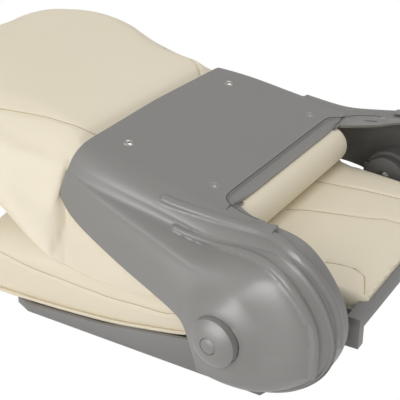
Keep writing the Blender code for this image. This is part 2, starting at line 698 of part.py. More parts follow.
def build_hinges(mats):
    """Bolt, nut, washers, bushing, cap and plug of both hinges."""
    for side, tag in ((1, "near"), (-1, "far")):
        base = hinge_matrix(side)
        head = BOLT_SEAT_X + TOUCH_GAP
        head_top = head + BOLT_HEAD_HEIGHT
        bolt = ((0.0, BOLT_END_X), (BOLT_R, BOLT_END_X), (BOLT_R, head), (BOLT_HEAD_R, head),
                (BOLT_HEAD_R, head_top), (0.0, head_top))
        ring_body(f"hinge_bolt_{tag}", bolt, base, mats["steel"])
        bushing = tube_profile(BUSHING_R, BUSHING_BORE_R, HUB_INNER_X, BOLT_SEAT_X - TOUCH_GAP)
        ring_body(f"hinge_bushing_{tag}", bushing, base, mats["nylon"])
        thrust = tube_profile(THRUST_R, BUSHING_BORE_R, EAR_OUTER_X + TOUCH_GAP, HUB_INNER_X - TOUCH_GAP)
        ring_body(f"thrust_washer_{tag}", thrust, base, mats["nylon"], FINE_SEGMENTS)
        washer_top = EAR_INNER_X - TOUCH_GAP
        washer_low = washer_top - NUT_WASHER_THICK
        washer = tube_profile(NUT_WASHER_R, BUSHING_BORE_R, washer_low, washer_top)
        ring_body(f"nut_washer_{tag}", washer, base, mats["steel"])
        nut_top = washer_low - TOUCH_GAP
        profile = disc_profile(NUT_R, nut_top - NUT_HEIGHT, nut_top)
        nut = ring_body(f"hinge_nut_{tag}", profile, base, mats["steel"], NUT_SIDES, None)
        cut_round(nut, BUSHING_BORE_R, 0.0, HUB_OUTER_X, base)
        tilted = hinge_matrix(side, CAP_FLOOR_X, CAP_TILT)
        build_cap(tag, tilted, mats)


def build_cap(tag, matrix, mats):
    low = TOUCH_GAP
    rim = CAP_RIM_HEIGHT
    centre = rim + CAP_CROWN
    profile = [(0.0, low), (CAP_R, low), (CAP_R, rim - PLUG_CROWN)]
    for step in range(1, CAP_CROWN_STEPS + 1):
        turn = 0.5 * math.pi * CAP_CROWN_SHARE * step / CAP_CROWN_STEPS
        radius = max(CAP_R * math.cos(turn), PLUG_POCKET_R)
        if radius < profile[-1][0] - TOUCH_GAP or step == 1:
            profile.append((radius, rim + CAP_CROWN * math.sin(turn)))
    top = profile[-1][1]
    floor = top - PLUG_DEPTH
    if profile[-1][0] > PLUG_POCKET_R:
        profile.append((PLUG_POCKET_R, top))
    profile += [(PLUG_POCKET_R, floor), (0.0, floor)]
    ring_body(f"hinge_cap_{tag}", profile, matrix, mats["shell"], FINE_SEGMENTS)
    plug = ((0.0, floor + TOUCH_GAP), (PLUG_R, floor + TOUCH_GAP), (PLUG_R, top),
            (PLUG_R * PLUG_FLAT_SHARE, top + PLUG_CROWN), (0.0, top + PLUG_CROWN + TOUCH_GAP))
    ring_body(f"cap_plug_{tag}", plug, matrix, mats["shell"], FINE_SEGMENTS)


def build_cushion_screws(mats):
    names = {(1, 0): "near_rear", (1, 1): "near_front", (-1, 0): "far_rear", (-1, 1): "far_front"}
    for side in (1, -1):
        for index, (x, y) in enumerate(CUSHION_SCREWS):
            tag = names[(side, index)]
            base = panel_matrix(side * x, y)
            cup = ((CUP_HOLE_R, TOUCH_GAP), (CUP_R, TOUCH_GAP),
                   (CUP_R * CUP_RADIUS_SHARES[0], CUP_HEIGHT * CUP_HEIGHT_SHARES[0]),
                   (CUP_R * CUP_RADIUS_SHARES[1], CUP_HEIGHT),
                   (CUP_HOLE_R, CUP_HEIGHT * CUP_HEIGHT_SHARES[1]))
            ring_body(f"cup_washer_{tag}", cup, base, mats["chrome"])
            seat = CUP_HEIGHT + TOUCH_GAP
            screw = ((0.0, -SCREW_GRIP), (SCREW_R, -SCREW_GRIP), (SCREW_R, seat), (SCREW_HEAD_R, seat),
                     (SCREW_HEAD_R * SCREW_HEAD_SHARE, seat + SCREW_HEAD_HEIGHT * SCREW_HEAD_SHARE),
                     (0.0, seat + SCREW_HEAD_HEIGHT))
            ring_body(f"cushion_screw_{tag}", screw, base, mats["chrome"])


def build_back_board(mats):
    """Plywood plate under the panel that takes the cushion screws."""
    top = SHELL_WALL / math.cos(math.atan(PANEL_SLOPE)) + TOUCH_GAP
    outline = [(y, panel_z(y) - top) for y in (BACK_BOARD_FRONT, BACK_BOARD_REAR)]
    outline += [(y, z - BACK_BOARD_THICK) for y, z in reversed(outline)]
    board = prism("back_board", outline, -BACK_BOARD_X, BACK_BOARD_X, mats["board"], "X")
    for side in (1, -1):
        for x, y in CUSHION_SCREWS:
            cut_round(board, SCREW_HOLE_R, -CAP_R, CUP_R, panel_matrix(side * x, y))
    return board


def close_rings(name, rings, mat, smooth, star_ends=True):
    """Skin equal closed rings; an end that isn't star-shaped is filled as one outline."""
    bm = bmesh.new()
    loops = [[bm.verts.new(p) for p in ring] for ring in rings]
    count = len(loops[0])
    for ring0, ring1 in zip(loops, loops[1:]):
        for k in range(count):
            follow = (k + 1) % count
            bm.faces.new((ring0[k], ring0[follow], ring1[follow], ring1[k]))
    for ring in (loops[0], loops[-1]):
        if star_ends or ring is loops[0]:
            hub = bm.verts.new(sum((v.co for v in ring), Vector()) / count)
            for k in range(count):
                bm.faces.new((ring[k], ring[(k + 1) % count], hub))
        else:
            bmesh.ops.triangulate(bm, faces=[bm.faces.new(ring)])
    return new_object(name, bm, mat, smooth)


def mirror_ring(half):
    """Closed ring from the near half, whose first and last points lie on the middle plane."""
    far = [Vector((-p.x, p.y, p.z)) for p in half[1:-1]]
    return half + far[::-1]


def seat_ring(station):
    y, side_out, plateau_out, top_z, seam_z, low_z = station
    half = PAN_HALF + side_out
    plateau = PAN_HALF + plateau_out
    lifts = SEAT_CROWN_LIFTS
    if station in SEAT_STATIONS[:SEAT_END_STATIONS] + SEAT_STATIONS[-SEAT_END_STATIONS:]:
        lifts = [0.0] * len(SEAT_CROWN_LIFTS)
    points = [(plateau * share, top_z + lift) for share, lift in zip(SEAT_CROWN_SHARES, lifts)]
    for step in range(1, SEAT_SHOULDER_STEPS + 1):
        turn = 0.5 * math.pi * step / SEAT_SHOULDER_STEPS
        x = plateau + (half - plateau) * math.sin(turn)
        points.append((x, seam_z + (top_z - seam_z) * math.cos(turn)))
    points.append((half, 0.5 * (seam_z + low_z)))
    points.append((half - PIPING_R * SEAT_EDGE_SHARE, low_z))
    points += [(half * share, low_z) for share in SEAT_BASE_SHARES]
    return mirror_ring([place(x, y, z) for x, z in points])


def build_seat_cushion(mats):
    rings = [seat_ring(station) for station in SEAT_STATIONS]
    cushion = close_rings("seat_cushion", rings, mats["vinyl"], math.radians(50))
    top = BOARD_THICK + TOUCH_GAP
    front = BOARD_Y0 - BOARD_END_GAP
    rear = BOARD_Y1 + BOARD_END_GAP
    outline = ((front, board_z(front) + top), (rear, board_z(rear) + top),
               (rear, PAN_BOTTOM), (front, PAN_BOTTOM))
    tool = prism("tool", outline, -BOARD_X - TOUCH_GAP, BOARD_X + TOUCH_GAP, mats["vinyl"], "X")
    combine(cushion, tool, "DIFFERENCE")
    return cushion


def build_seat_board(mats):
    low = [(BOARD_Y0, board_z(BOARD_Y0)), (BOARD_Y1, board_z(BOARD_Y1))]
    outline = low + [(y, z + BOARD_THICK) for y, z in reversed(low)]
    board = prism("seat_board", outline, -BOARD_X, BOARD_X, mats["board"], "X")
    for side in (1, -1):
        spare = ((side * BOARD_NECK_X, BOARD_NECK_Y), (side * 2 * BOARD_X, BOARD_NECK_Y),
                 (side * 2 * BOARD_X, 2 * BOARD_Y1), (side * BOARD_NECK_X, 2 * BOARD_Y1))
        tool = prism("tool", spare, PAN_BOTTOM, -PAN_BOTTOM, mats["board"])
        combine(board, tool, "DIFFERENCE")
        for x, y in BOARD_SCREWS:
            cut_round(board, SCREW_HOLE_R, PAN_BOTTOM, -PAN_BOTTOM, upright_matrix(side * x, y, 0.0))
    return board


def pan_outline(inset):
    half = PAN_HALF - inset
    front = PAN_FRONT + inset
    waist = PAN_WAIST_X - inset
    tail = PAN_TAIL_X - inset
    across, along = PAN_CORNER_SHARES
    right = [(half - PAN_CORNER, front), (half - across * PAN_CORNER, front + along * PAN_CORNER),
             (half, front + PAN_CORNER), (half, PAN_EAR_REAR - 0.5 * inset),
             (waist, PAN_WAIST_START - inset), (waist, PAN_WAIST_END - inset),
             (tail, PAN_TAIL_START - inset), (tail, PAN_TAIL_END - inset)]
    return right + [(-x, y) for x, y in reversed(right)]


def build_seat_pan(mats):
    pan = prism("seat_pan", pan_outline(0.0), PAN_BOTTOM, PAN_REAR_TOP, mats["pan"])
    hollow = prism("tool", pan_outline(PAN_WALL), PAN_BOTTOM + PAN_WALL, 2 * PAN_REAR_TOP, mats["pan"])
    combine(pan, hollow, "DIFFERENCE")
    above = [(2 * PAN_FRONT, PAN_EDGE[0][1])] + list(PAN_EDGE)
    above += [(PAN_EAR_FRONT, PAN_EDGE[-1][1]), (PAN_EAR_FRONT, 2 * PAN_REAR_TOP)]
    above += [(2 * PAN_FRONT, 2 * PAN_REAR_TOP)]
    combine(pan, prism("tool", above, -2 * PAN_HALF, 2 * PAN_HALF, mats["pan"], "X"), "DIFFERENCE")
    add_pan_ribs(pan, mats)
    add_pan_rear(pan, mats)
    for side in (1, -1):
        base = hinge_matrix(side)
        cut_round(pan, 0.5 * EAR_R, EAR_INNER_X - EAR_R, EAR_OUTER_X + EAR_R, base)
        ear = ring_body("tool", tube_profile(EAR_R, BUSHING_BORE_R, EAR_INNER_X, EAR_OUTER_X), base,
                        mats["pan"], FINE_SEGMENTS, None)
        combine(pan, ear, "UNION")
    add_pan_bosses(pan)
    return pan


def add_pan_ribs(pan, mats):
    front = BOARD_Y0 + PAN_WALL
    rear = PAN_TAIL_END - 0.5 * PAN_WALL
    low = PAN_BOTTOM + 0.5 * PAN_WALL
    outline = [(front, low), (rear, low)]
    outline += [(y, board_z(y) - TOUCH_GAP) for y in (rear, front)]
    for x in (-PAN_RIB_X, PAN_RIB_X):
        rib = prism("tool", outline, x - PAN_RIB_THICK / 2, x + PAN_RIB_THICK / 2, mats["pan"], "X")
        combine(pan, rib, "UNION")


def add_pan_rear(pan, mats):
    bar = ((PAN_RIM_FRONT, PAN_RIM_BOTTOM - PAN_WALL), (PAN_RIM_REAR, PAN_RIM_BOTTOM - PAN_WALL),
           (PAN_RIM_REAR, PAN_RIM_TOP), (PAN_RIM_FRONT, PAN_RIM_TOP))
    combine(pan, prism("tool", bar, -PAN_RIM_X, PAN_RIM_X, mats["pan"], "X"), "UNION")
    block = ((PAN_RIM_FRONT, BLOCK_BOTTOM), (PAN_RIM_REAR - TOUCH_GAP, BLOCK_BOTTOM),
             (PAN_RIM_REAR - TOUCH_GAP, PAN_RIM_TOP - PAN_WALL), (PAN_RIM_FRONT, PAN_RIM_TOP - PAN_WALL))
    for side in (1, -1):
        low, high = sorted((side * (PAN_RIM_X - BLOCK_WIDTH), side * (PAN_RIM_X - TOUCH_GAP)))
        combine(pan, prism("tool", block, low, high, mats["pan"], "X"), "UNION")


def boss_top(y):
    return board_z(y) - BOSS_CLEARANCE


def boss_recess(y):
    """Depth of the screw pocket under a boss."""
    return min(BOARD_SCREW_RECESS, (boss_top(y) - PAN_BOTTOM) * BOARD_SCREW_RECESS_SHARE)


def add_pan_bosses(pan):
    floor = PAN_BOTTOM
    root = floor + PAN_WALL * PAN_SEAT_SHARE
    for side in (1, -1):
        for x, y in BOARD_SCREWS:
            base = upright_matrix(side * x, y, 0.0)
            add_round(pan, BOSS_R, root, boss_top(y), base)
            cut_round(pan, BOARD_SCREW_POCKET_R, floor - PAN_WALL, floor + boss_recess(y), base)
            cut_round(pan, SCREW_HOLE_R, floor - PAN_WALL, boss_top(y) + PAN_WALL, base)
        for y_side in (1, -1):
            base = upright_matrix(side * INSERT_HALF, -HINGE_Y + y_side * INSERT_HALF, 0.0)
            add_round(pan, INSERT_BOSS_R, root, floor + INSERT_HEIGHT, base)
            cut_round(pan, INSERT_R + TOUCH_GAP, floor - PAN_WALL, floor + INSERT_HEIGHT + PAN_WALL, base)


def build_pan_fasteners(mats):
    for side, tag in ((1, "near"), (-1, "far")):
        for (x, y), where in zip(BOARD_SCREWS, ("front", "rear")):
            seat = PAN_BOTTOM + boss_recess(y) - TOUCH_GAP
            low = seat - BOARD_SCREW_HEAD_HEIGHT
            tip = board_z(y) + BOARD_SCREW_GRIP
            screw = ((0.0, low), (BOARD_SCREW_HEAD_R, low), (BOARD_SCREW_HEAD_R, seat), (SCREW_R, seat),
                     (SCREW_R, tip), (0.0, tip))
            ring_body(f"board_screw_{tag}_{where}", screw, upright_matrix(side * x, y, 0.0), mats["steel"])
        for y_side, where in ((-1, "front"), (1, "rear")):
            low = PAN_BOTTOM + TOUCH_GAP
            top = PAN_BOTTOM + INSERT_HEIGHT + TOUCH_GAP
            flange = top + INSERT_FLANGE_THICK
            insert = ((INSERT_BORE_R, low), (INSERT_R, low), (INSERT_R, top), (INSERT_FLANGE_R, top),
                      (INSERT_FLANGE_R, flange), (INSERT_BORE_R, flange))
            matrix = upright_matrix(side * INSERT_HALF, -HINGE_Y + y_side * INSERT_HALF, 0.0)
            ring_body(f"mount_insert_{tag}_{where}", insert, matrix, mats["steel"])


def build_seat_piping(mats):
    """Welt cord round the front and both sides of the seat cushion's lower edge."""
    line = []
    for y, side_out, _plateau, _top, _seam, low_z in SEAT_STATIONS[1:10]:
        line.append(place(PAN_HALF + side_out + PIPING_OUT + PIPING_R, y, low_z + PIPING_R))
    y0 = SEAT_STATIONS[0][0] - SEAT_NOSE
    z0 = SEAT_STATIONS[0][5] - PIPING_R
    corner = [place(PAN_HALF + SEAT_STATIONS[0][1] + PIPING_R, y0, z0), place(0.0, y0 - PIPING_R, z0)]
    near = corner[::-1] + line
    path = [Vector((-p.x, p.y, p.z)) for p in near[1:]][::-1] + near
    bm = bmesh.new()
    rings = []
    for index, point in enumerate(path):
        ahead = path[min(index + 1, len(path) - 1)]
        behind = path[max(index - 1, 0)]
        forward = (ahead - behind).normalized()
        across = forward.cross(Vector((0.0, 0.0, 1.0))).normalized()
        up = across.cross(forward)
        turns = [2.0 * math.pi * k / CORD_SEGMENTS for k in range(CORD_SEGMENTS)]
        section = [point + PIPING_R * (across * math.cos(a) + up * math.sin(a)) for a in turns]
        rings.append([bm.verts.new(p) for p in section])
    for ring0, ring1 in zip(rings, rings[1:]):
        for k in range(CORD_SEGMENTS):
            follow = (k + 1) % CORD_SEGMENTS
            bm.faces.new((ring0[k], ring0[follow], ring1[follow], ring1[k]))
    bm.faces.new(rings[0])
    bm.faces.new(rings[-1])
    return new_object("seat_piping", bm, mats["vinyl"], math.radians(60))


def build_back_cushion(mats):
    rings = [upper_ring(station) for station in UPPER_STATIONS]
    rings += [shelled_ring(index) for index in range(len(WING_SEAM))]
    cushion = close_rings("back_cushion", rings, mats["vinyl"], math.radians(50), star_ends=False)
    board_top = 2 * TOUCH_GAP + SHELL_WALL / math.cos(math.atan(PANEL_SLOPE)) + BACK_BOARD_THICK + PAD_SAG
    neck_y = SHELL_STATIONS[NECK_STATION][0]
    neck = [(y, panel_z(y) - board_top) for y in (neck_y, ROLL_Y)]
    neck += [(y, panel_z(y) - PAD_THICK) for y in (ROLL_Y, neck_y)]
    combine(cushion, prism("tool", neck, -BACK_BOARD_X, BACK_BOARD_X, mats["vinyl"], "X"), "UNION")
    combine(cushion, roll_body(mats), "UNION")
    finish_smooth(cushion, 50)
    return cushion


def roll_body(mats):
    """Padded roll along the lower edge of the back, with soft ends."""
    profile = [(0.0, -ROLL_X)]
    profile += [(ROLL_R * r, -ROLL_X + ROLL_R * d) for r, d in ROLL_END_SHARES]
    profile += [(ROLL_R, 0.0)]
    profile += [(ROLL_R * r, ROLL_X - ROLL_R * d) for r, d in reversed(ROLL_END_SHARES)]
    profile += [(0.0, ROLL_X)]
    matrix = Matrix.Translation(place(0.0, ROLL_Y, ROLL_Z)) @ Matrix.Rotation(math.pi / 2.0, 4, "Y")
    return ring_body("tool", profile, matrix, mats["vinyl"], SEGMENTS, None)


def front_face(y, seam, pad_thick):
    """Wing and front padding of a back section, from the seam to the middle."""
    seam_x, seam_y, seam_z = seam
    face_z = panel_z(y) - pad_thick
    inner_x = WING_THICK_SHARE * seam_x
    depth = face_z - seam_z
    points = [(seam_x, seam_y, seam_z)]
    for out, down in zip(FACE_SHARES_OUT, FACE_SHARES_DOWN):
        points.append((out * seam_x, seam_y + (y - seam_y) * (1.0 - down) * 0.5, face_z - depth * down))
    points.append((inner_x * FACE_CORNER_SHARES[0], y, face_z - FACE_CORNER_DROP_SHARE * depth))
    points.append((inner_x * FACE_CORNER_SHARES[1], y, face_z))
    for share in FACE_CROWN_SHARES:
        points.append((inner_x * share, y, face_z - PAD_CROWN * (1.0 - share ** 2)))
    return [place(*p) for p in points]


def upper_ring(station):
    y, half_out, flat_out, crown, seam_depth, thick = station
    half = PAN_HALF + half_out
    flat = max(PAN_HALF + flat_out, UPPER_FLAT_MIN)
    z = panel_z(y)
    points = [place(flat * share, y, z + crown) for share in PANEL_SHARES]
    steps = len(FLARED_SIDE_SHARES)
    blend = min(max((FLARED_FROM_Y - y) / (FLARED_FROM_Y - ROUNDED_FROM_Y), 0.0), 1.0)
    points.append(place(flat, y, z + crown - BACK_CHANNEL))
    for step, (out_share, drop_share) in enumerate(FLARED_SIDE_SHARES, 1):
        turn = 0.5 * math.pi * step / (steps + 1)
        round_x = flat + (half - flat) * math.sin(turn)
        round_drop = (seam_depth + crown) * (1.0 - math.cos(turn))
        x = half * out_share + (round_x - half * out_share) * blend
        drop = (seam_depth + crown) * drop_share
        points.append(place(x, y, z + crown - drop - (round_drop - drop) * blend))
    seam = (half, y, z - seam_depth)
    return mirror_ring(points + front_face(y, seam, thick))


def shelled_ring(index):
    """Back section under the shell: the same station, moved in by the wall."""
    (top_y, top_z), flat_x, shoulder_x, edge = shell_station(index)
    length = math.hypot(edge[1] - top_y, edge[2] - top_z)
    columns = side_columns((top_y, top_z), flat_x, shoulder_x, edge, length, CORNER_DROP)
    depth = SHELL_WALL + (PAD_GAP if index else PAD_MOUTH_GAP)
    board_top = 2 * TOUCH_GAP + SHELL_WALL / math.cos(math.atan(PANEL_SLOPE)) + BACK_BOARD_THICK
    points = []
    for share in PANEL_SHARES:
        x = flat_x * share
        points.append(place(x, top_y, panel_z(top_y) - board_top - PAD_SAG * share ** 2))
    for k, point in enumerate(columns):
        moved = shell_inner(columns, k, depth)
        if k == 0:
            moved = (point[0], top_y, panel_z(top_y) - board_top - PAD_SAG)
        points.append(place(*moved))
    seam_out, seam_y, seam_z = WING_SEAM[index]
    seam = (PAN_HALF + seam_out, seam_y, seam_z)
    last = Vector(moved)
    for share in FLARE_SHARES:
        blend = last.lerp(Vector(seam), share)
        blend.x = last.x + (seam[0] - last.x) * share ** FLARE_POWER
        points.append(place(*blend))
    return mirror_ring(points + front_face(top_y, seam, PAD_THICK))


def shell_inner(columns, k, depth):
    """One section point moved toward the inside of the shell."""
    ahead = Vector(columns[min(k + 1, len(columns) - 1)])
    behind = Vector(columns[max(k - 1, 0)])
    forward = (ahead - behind).normalized()
    outward = Vector((-forward.z, 0.0, forward.x))
    if outward.x < 0.0:
        outward = -outward
    point = Vector(columns[k]) - outward.normalized() * depth
    return point


def main():
    clear_scene()
    mats = {
        "shell": material("shell_plastic", (0.27, 0.26, 0.25), 0.42),
        "pan": material("pan_plastic", (0.24, 0.235, 0.23), 0.45),
        "vinyl": material("cream_vinyl", (0.87, 0.83, 0.70), 0.45),
        "board": material("plywood", (0.55, 0.42, 0.28), 0.7),
        "steel": material("stainless_steel", (0.60, 0.60, 0.60), 0.3, 1.0),
        "chrome": material("bright_steel", (0.72, 0.71, 0.69), 0.15, 1.0),
        "nylon": material("nylon", (0.85, 0.85, 0.82), 0.5),
    }
    build_seat_pan(mats)
    build_seat_board(mats)
    build_seat_cushion(mats)
    build_seat_piping(mats)
    build_pan_fasteners(mats)
    build_back_shell(mats)
    build_back_board(mats)
    build_back_cushion(mats)
    build_cushion_screws(mats)
    build_hinges(mats)


main()
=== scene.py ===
"""Dresses the folding boat seat: moulded shell with its ribs, upholstery, fittings, materials and studio."""

import json
import math

import bmesh
import bpy
import numpy as np
from mathutils import Matrix, Vector, kdtree
from mathutils.bvhtree import BVHTree


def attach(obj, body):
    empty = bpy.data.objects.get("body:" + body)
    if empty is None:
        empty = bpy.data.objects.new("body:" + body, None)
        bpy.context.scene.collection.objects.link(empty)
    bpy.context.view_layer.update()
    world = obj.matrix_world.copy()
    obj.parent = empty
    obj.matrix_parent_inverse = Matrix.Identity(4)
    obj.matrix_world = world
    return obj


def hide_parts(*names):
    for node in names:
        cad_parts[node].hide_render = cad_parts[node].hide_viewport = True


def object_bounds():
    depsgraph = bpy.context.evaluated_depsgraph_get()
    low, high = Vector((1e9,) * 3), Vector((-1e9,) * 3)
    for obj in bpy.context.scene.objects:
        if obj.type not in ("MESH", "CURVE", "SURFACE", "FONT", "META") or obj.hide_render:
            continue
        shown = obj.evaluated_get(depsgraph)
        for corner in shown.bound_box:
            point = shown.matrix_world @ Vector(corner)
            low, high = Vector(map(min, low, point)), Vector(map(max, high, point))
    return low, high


bl_info = {
    "name": "Folding Boat Seat",
    "version": (1, 0, 0),
    "blender": (4, 5, 0),
    "location": "3D View > Sidebar > Boat Seat",
    "description": "Builds the upholstery, shell, fittings and studio of a folding boat seat",
    "category": "Object",
}

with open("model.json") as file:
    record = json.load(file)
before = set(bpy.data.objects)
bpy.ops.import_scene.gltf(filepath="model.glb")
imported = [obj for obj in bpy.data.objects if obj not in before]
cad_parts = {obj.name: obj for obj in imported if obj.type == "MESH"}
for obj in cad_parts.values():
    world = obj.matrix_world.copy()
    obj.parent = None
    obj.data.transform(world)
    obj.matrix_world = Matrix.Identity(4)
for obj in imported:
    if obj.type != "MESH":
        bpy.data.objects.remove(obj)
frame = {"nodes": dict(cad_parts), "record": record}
CAD_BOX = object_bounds()

# The hinge axis: every profile below is written from it.
HINGE = Vector((0.0, 0.125, 0.088))

# The two mirrored sides: sign of X and the word that ends a piece's name.
SIDES = ((1, "near"), (-1, "far"))

# The photograph's camera.
IMAGE_SIZE = 400.0
FOCAL_PIXELS = 1000.0
LENS_MM = 90.0
SENSOR_MM = 36.0
CAMERA_PLACE = HINGE + Vector((1.0435, 0.449, 0.6202))
CAMERA_LOOK = Vector((-0.7645, -0.4617, -0.4486)).normalized()
CAMERA_RIGHT = CAMERA_LOOK.cross(Vector((0.0, 0.0, 1.0))).normalized()
CAMERA_UP = CAMERA_RIGHT.cross(CAMERA_LOOK).normalized()

# Back panel plane and shell stations, as in the solids.
PANEL_Z = 0.107
PANEL_REF_Y = -0.084
PANEL_SLOPE = 0.198
SHELL_WALL = 0.0045
SHELL_STATIONS = (
    (-0.2470, 0.1393, 0.150, 0.184, 0.188, -0.270, 0.073),
    (-0.2300, 0.1359, 0.156, 0.189, 0.194, -0.258, 0.057),
    (-0.2100, 0.1319, 0.162, 0.193, 0.200, -0.233, 0.044),
    (-0.1880, 0.1276, 0.165, 0.195, 0.208, -0.201, 0.035),
    (-0.1640, 0.1228, 0.165, 0.196, 0.215, -0.171, 0.024),
    (-0.1390, 0.1179, 0.165, 0.197, 0.222, -0.141, 0.015),
    (-0.1120, 0.1125, 0.166, 0.199, 0.231, -0.108, 0.009),
    (-0.0860, 0.1074, 0.167, 0.201, 0.241, -0.077, 0.003),
    (-0.0620, 0.1040, 0.169, 0.204, 0.247, -0.060, 0.000),
    (-0.0450, 0.1030, 0.172, 0.207, 0.251, -0.050, -0.006),
    (-0.0250, 0.1030, 0.177, 0.211, 0.254, -0.043, -0.013),
    (0.0000, 0.1035, 0.184, 0.216, 0.257, -0.037, -0.020),
    (0.0250, 0.1045, 0.193, 0.221, 0.259, -0.034, -0.028),
    (0.0460, 0.1075, 0.203, 0.226, 0.260, -0.032, -0.034),
)
DRUM_STATIONS = (
    (60, 0.128, 0.193), (48, 0.128, 0.199), (36, 0.128, 0.200), (24, 0.128, 0.200), (12, 0.128, 0.200),
    (0, 0.128, 0.203), (-12, 0.1160, 0.229), (-26, 0.1030, 0.229), (-40, 0.0935, 0.229), (-54, 0.0860, 0.229),
    (-68, 0.0785, 0.229), (-82, 0.0725, 0.229), (-96, 0.0685, 0.229),
)
DRUM_EDGE_X = 0.261
DRUM_EDGE_START = (-0.031, -0.037)
DRUM_EDGE_END = (-0.029, -0.058)
DRUM_SHOULDER_X = 0.238
DRUM_ROUND = 0.007
DRUM_RISE_LENGTH = 0.062
RIM_LAND = 0.006
LAST_PANEL_STATION = 9
LIP_EDGES = (0.140, 0.155, 0.162, 0.173, 0.188)
LIP_CRESTS = (0.163, 0.166, 0.172, 0.181, 0.192)
LIP_DROP = 0.010
PANEL_SHARES = (0.0, 0.3, 0.6, 0.8, 0.9, 0.97)
PANEL_BOW = 0.004
ROUND_STEPS = 4
FACE_SHARES = (0.12, 0.27, 0.45, 0.64, 0.82, 1.0)
CORNER_DROP = 0.030
CAP_FLOOR_X = 0.2645
CAP_TILT = math.radians(6.5)
CAP_R = 0.0290
CAP_RIM_HEIGHT = 0.0120
CAP_CROWN = 0.0070
CAP_POCKET_R = 0.0295
PLUG_R = 0.0095
PLUG_POCKET_R = 0.0101
HUB_R = 0.034
HUB_INNER_X = 0.228
HUB_OUTER_X = 0.2665
BORE_R = 0.0093
HUB_SWELL = 0.0072
HUB_SWELL_R = 0.0595
HUB_LAND_R = 0.0295
CUSHION_SCREWS = ((0.130, -0.084), (0.124, -0.208))

# Divisions of the shell's skin between stations and between columns, at full detail.
SHELL_ROW_CUTS = 7
ROUND_COLUMN_CUTS = 5
FACE_COLUMN_CUTS = (9, 9, 7, 6, 6, 5)
PANEL_COLUMN_CUTS = (9, 9, 7, 4, 6, 3)
LIP_COLUMN_CUTS = (4, 16)
EASING_ROUNDS = 80
ROUND_COLUMNS_HELD = 3

# Ribs and creases: crown and spread, as shares of the rib's height and half width.
RIB_CROWN_SHARE = 0.45
RIB_CROWN_FALL = 0.22
RIB_SPLIT_REACH = 1.3
INNER_RIB_HEIGHT_SHARE = 0.95
INNER_RIB_WIDTH_SHARE = 0.9

# The step round the opening, in metres across the line that it follows.
OPENING_SPLIT_REACH = 0.007
OPENING_REACH = 0.020
OPENING_FADE = 0.010
OPENING_LOWEST_Z = 0.085
OPENING_END_MARGIN = 0.004
STEP_WIDTH = 0.0016
LIP_CREST_OFFSET = 0.0024
LIP_CREST_HALF_WIDTH = 0.0034
LIP_CREST_SHARE = 0.8
GROOVE_LIFT = 0.004
ARM_TAB_HEIGHT = 0.0012
ARM_TAB_ROOT = -0.002
ARM_TAB_ROUND = 0.0006

# Hinge caps: a rim, a domed face and a sunk seat for the plug.
CAP_STEPS = 28
CAP_SEGMENTS = 128
CAP_BASE = 0.0005
CAP_CHAMFER = 0.0008
CAP_SHOULDER = 0.0016
CAP_DOME_POWER = 2.6
CAP_DOME_SHARE = 0.93
PLUG_SEAT_DEPTH = 0.006
PLUG_SEAT_GAP = 0.0003
PLUG_SEAT_INSET = 0.0002
PLUG_SEAT_EDGE = 0.0004
PLUG_ROUND = 0.0006
PLUG_CROWN = 0.0008

# Upholstery stations, as in the solids: offsets are taken from half the pan's width.
PAN_HALF = 0.2250
UPPER_STATIONS = (
    (-0.5560, -0.1700, -0.2050, -0.0220, 0.0300, 0.0360),
    (-0.5480, -0.1070, -0.1650, -0.0080, 0.0400, 0.0480),
    (-0.5300, -0.0620, -0.1250, -0.0010, 0.0520, 0.0580),
    (-0.5000, -0.0280, -0.0890, 0.0010, 0.0620, 0.0620),
    (-0.4620, -0.0110, -0.0670, 0.0020, 0.0700, 0.0600),
    (-0.4200, -0.0050, -0.0610, 0.0020, 0.0800, 0.0560),
    (-0.3800, -0.0030, -0.0630, 0.0020, 0.0900, 0.0520),
    (-0.3400, -0.0020, -0.0670, 0.0010, 0.1040, 0.0500),
    (-0.3050, -0.0020, -0.0710, 0.0010, 0.1220, 0.0480),
    (-0.2760, -0.0020, -0.0730, 0.0000, 0.1340, 0.0480),
)
WING_SEAM = (
    (-0.0025, -0.250, 0.000), (-0.0020, -0.232, -0.003), (-0.0015, -0.210, -0.006), (-0.0010, -0.187, -0.007),
    (-0.0005, -0.160, -0.006), (0.0000, -0.135, -0.004), (0.0005, -0.108, -0.002), (0.0010, -0.086, 0.000),
)
PAN_BOTTOM = -0.088
TAIL_START_Y = 0.058
TAIL_END_Y = 0.114
TAIL_END_Z = -0.016
TAIL_CUT_Y = 0.2
PAD_THICK = 0.046
PAD_CROWN = 0.006
PAD_GAP = 0.0030
PAD_MOUTH_GAP = 0.0042
PAD_TOP = 0.0115
CUSHION_PANEL_SHARES = (0.0, 0.3, 0.6, 0.8, 0.9, 0.97)
FACE_CROWN_SHARES = (0.62, 0.34, 0.0)
FACE_SHARES_OUT = (0.985, 0.955, 0.915, 0.840, 0.760)
FACE_SHARES_DOWN = (1.02, 1.0, 0.80, 0.50, 0.24)
FACE_CORNER_SHARES = (0.97, 0.86)
FLARE_POWER = 1.6
FLARE_SHARES = (0.35, 0.6, 0.82)
FLARED_SIDE_SHARES = (
    (0.700, 0.015), (0.735, 0.055), (0.765, 0.12), (0.790, 0.20), (0.808, 0.28), (0.825, 0.36), (0.836, 0.44),
    (0.847, 0.51), (0.858, 0.58), (0.873, 0.65), (0.893, 0.72), (0.925, 0.80), (0.957, 0.88),
)
FLARED_FROM_Y = -0.290
ROUNDED_FROM_Y = -0.430
WING_THICK_SHARE = 0.72
ROLL_Y = -0.055
ROLL_Z = 0.0695
ROLL_R = 0.0266
ROLL_X = 0.147
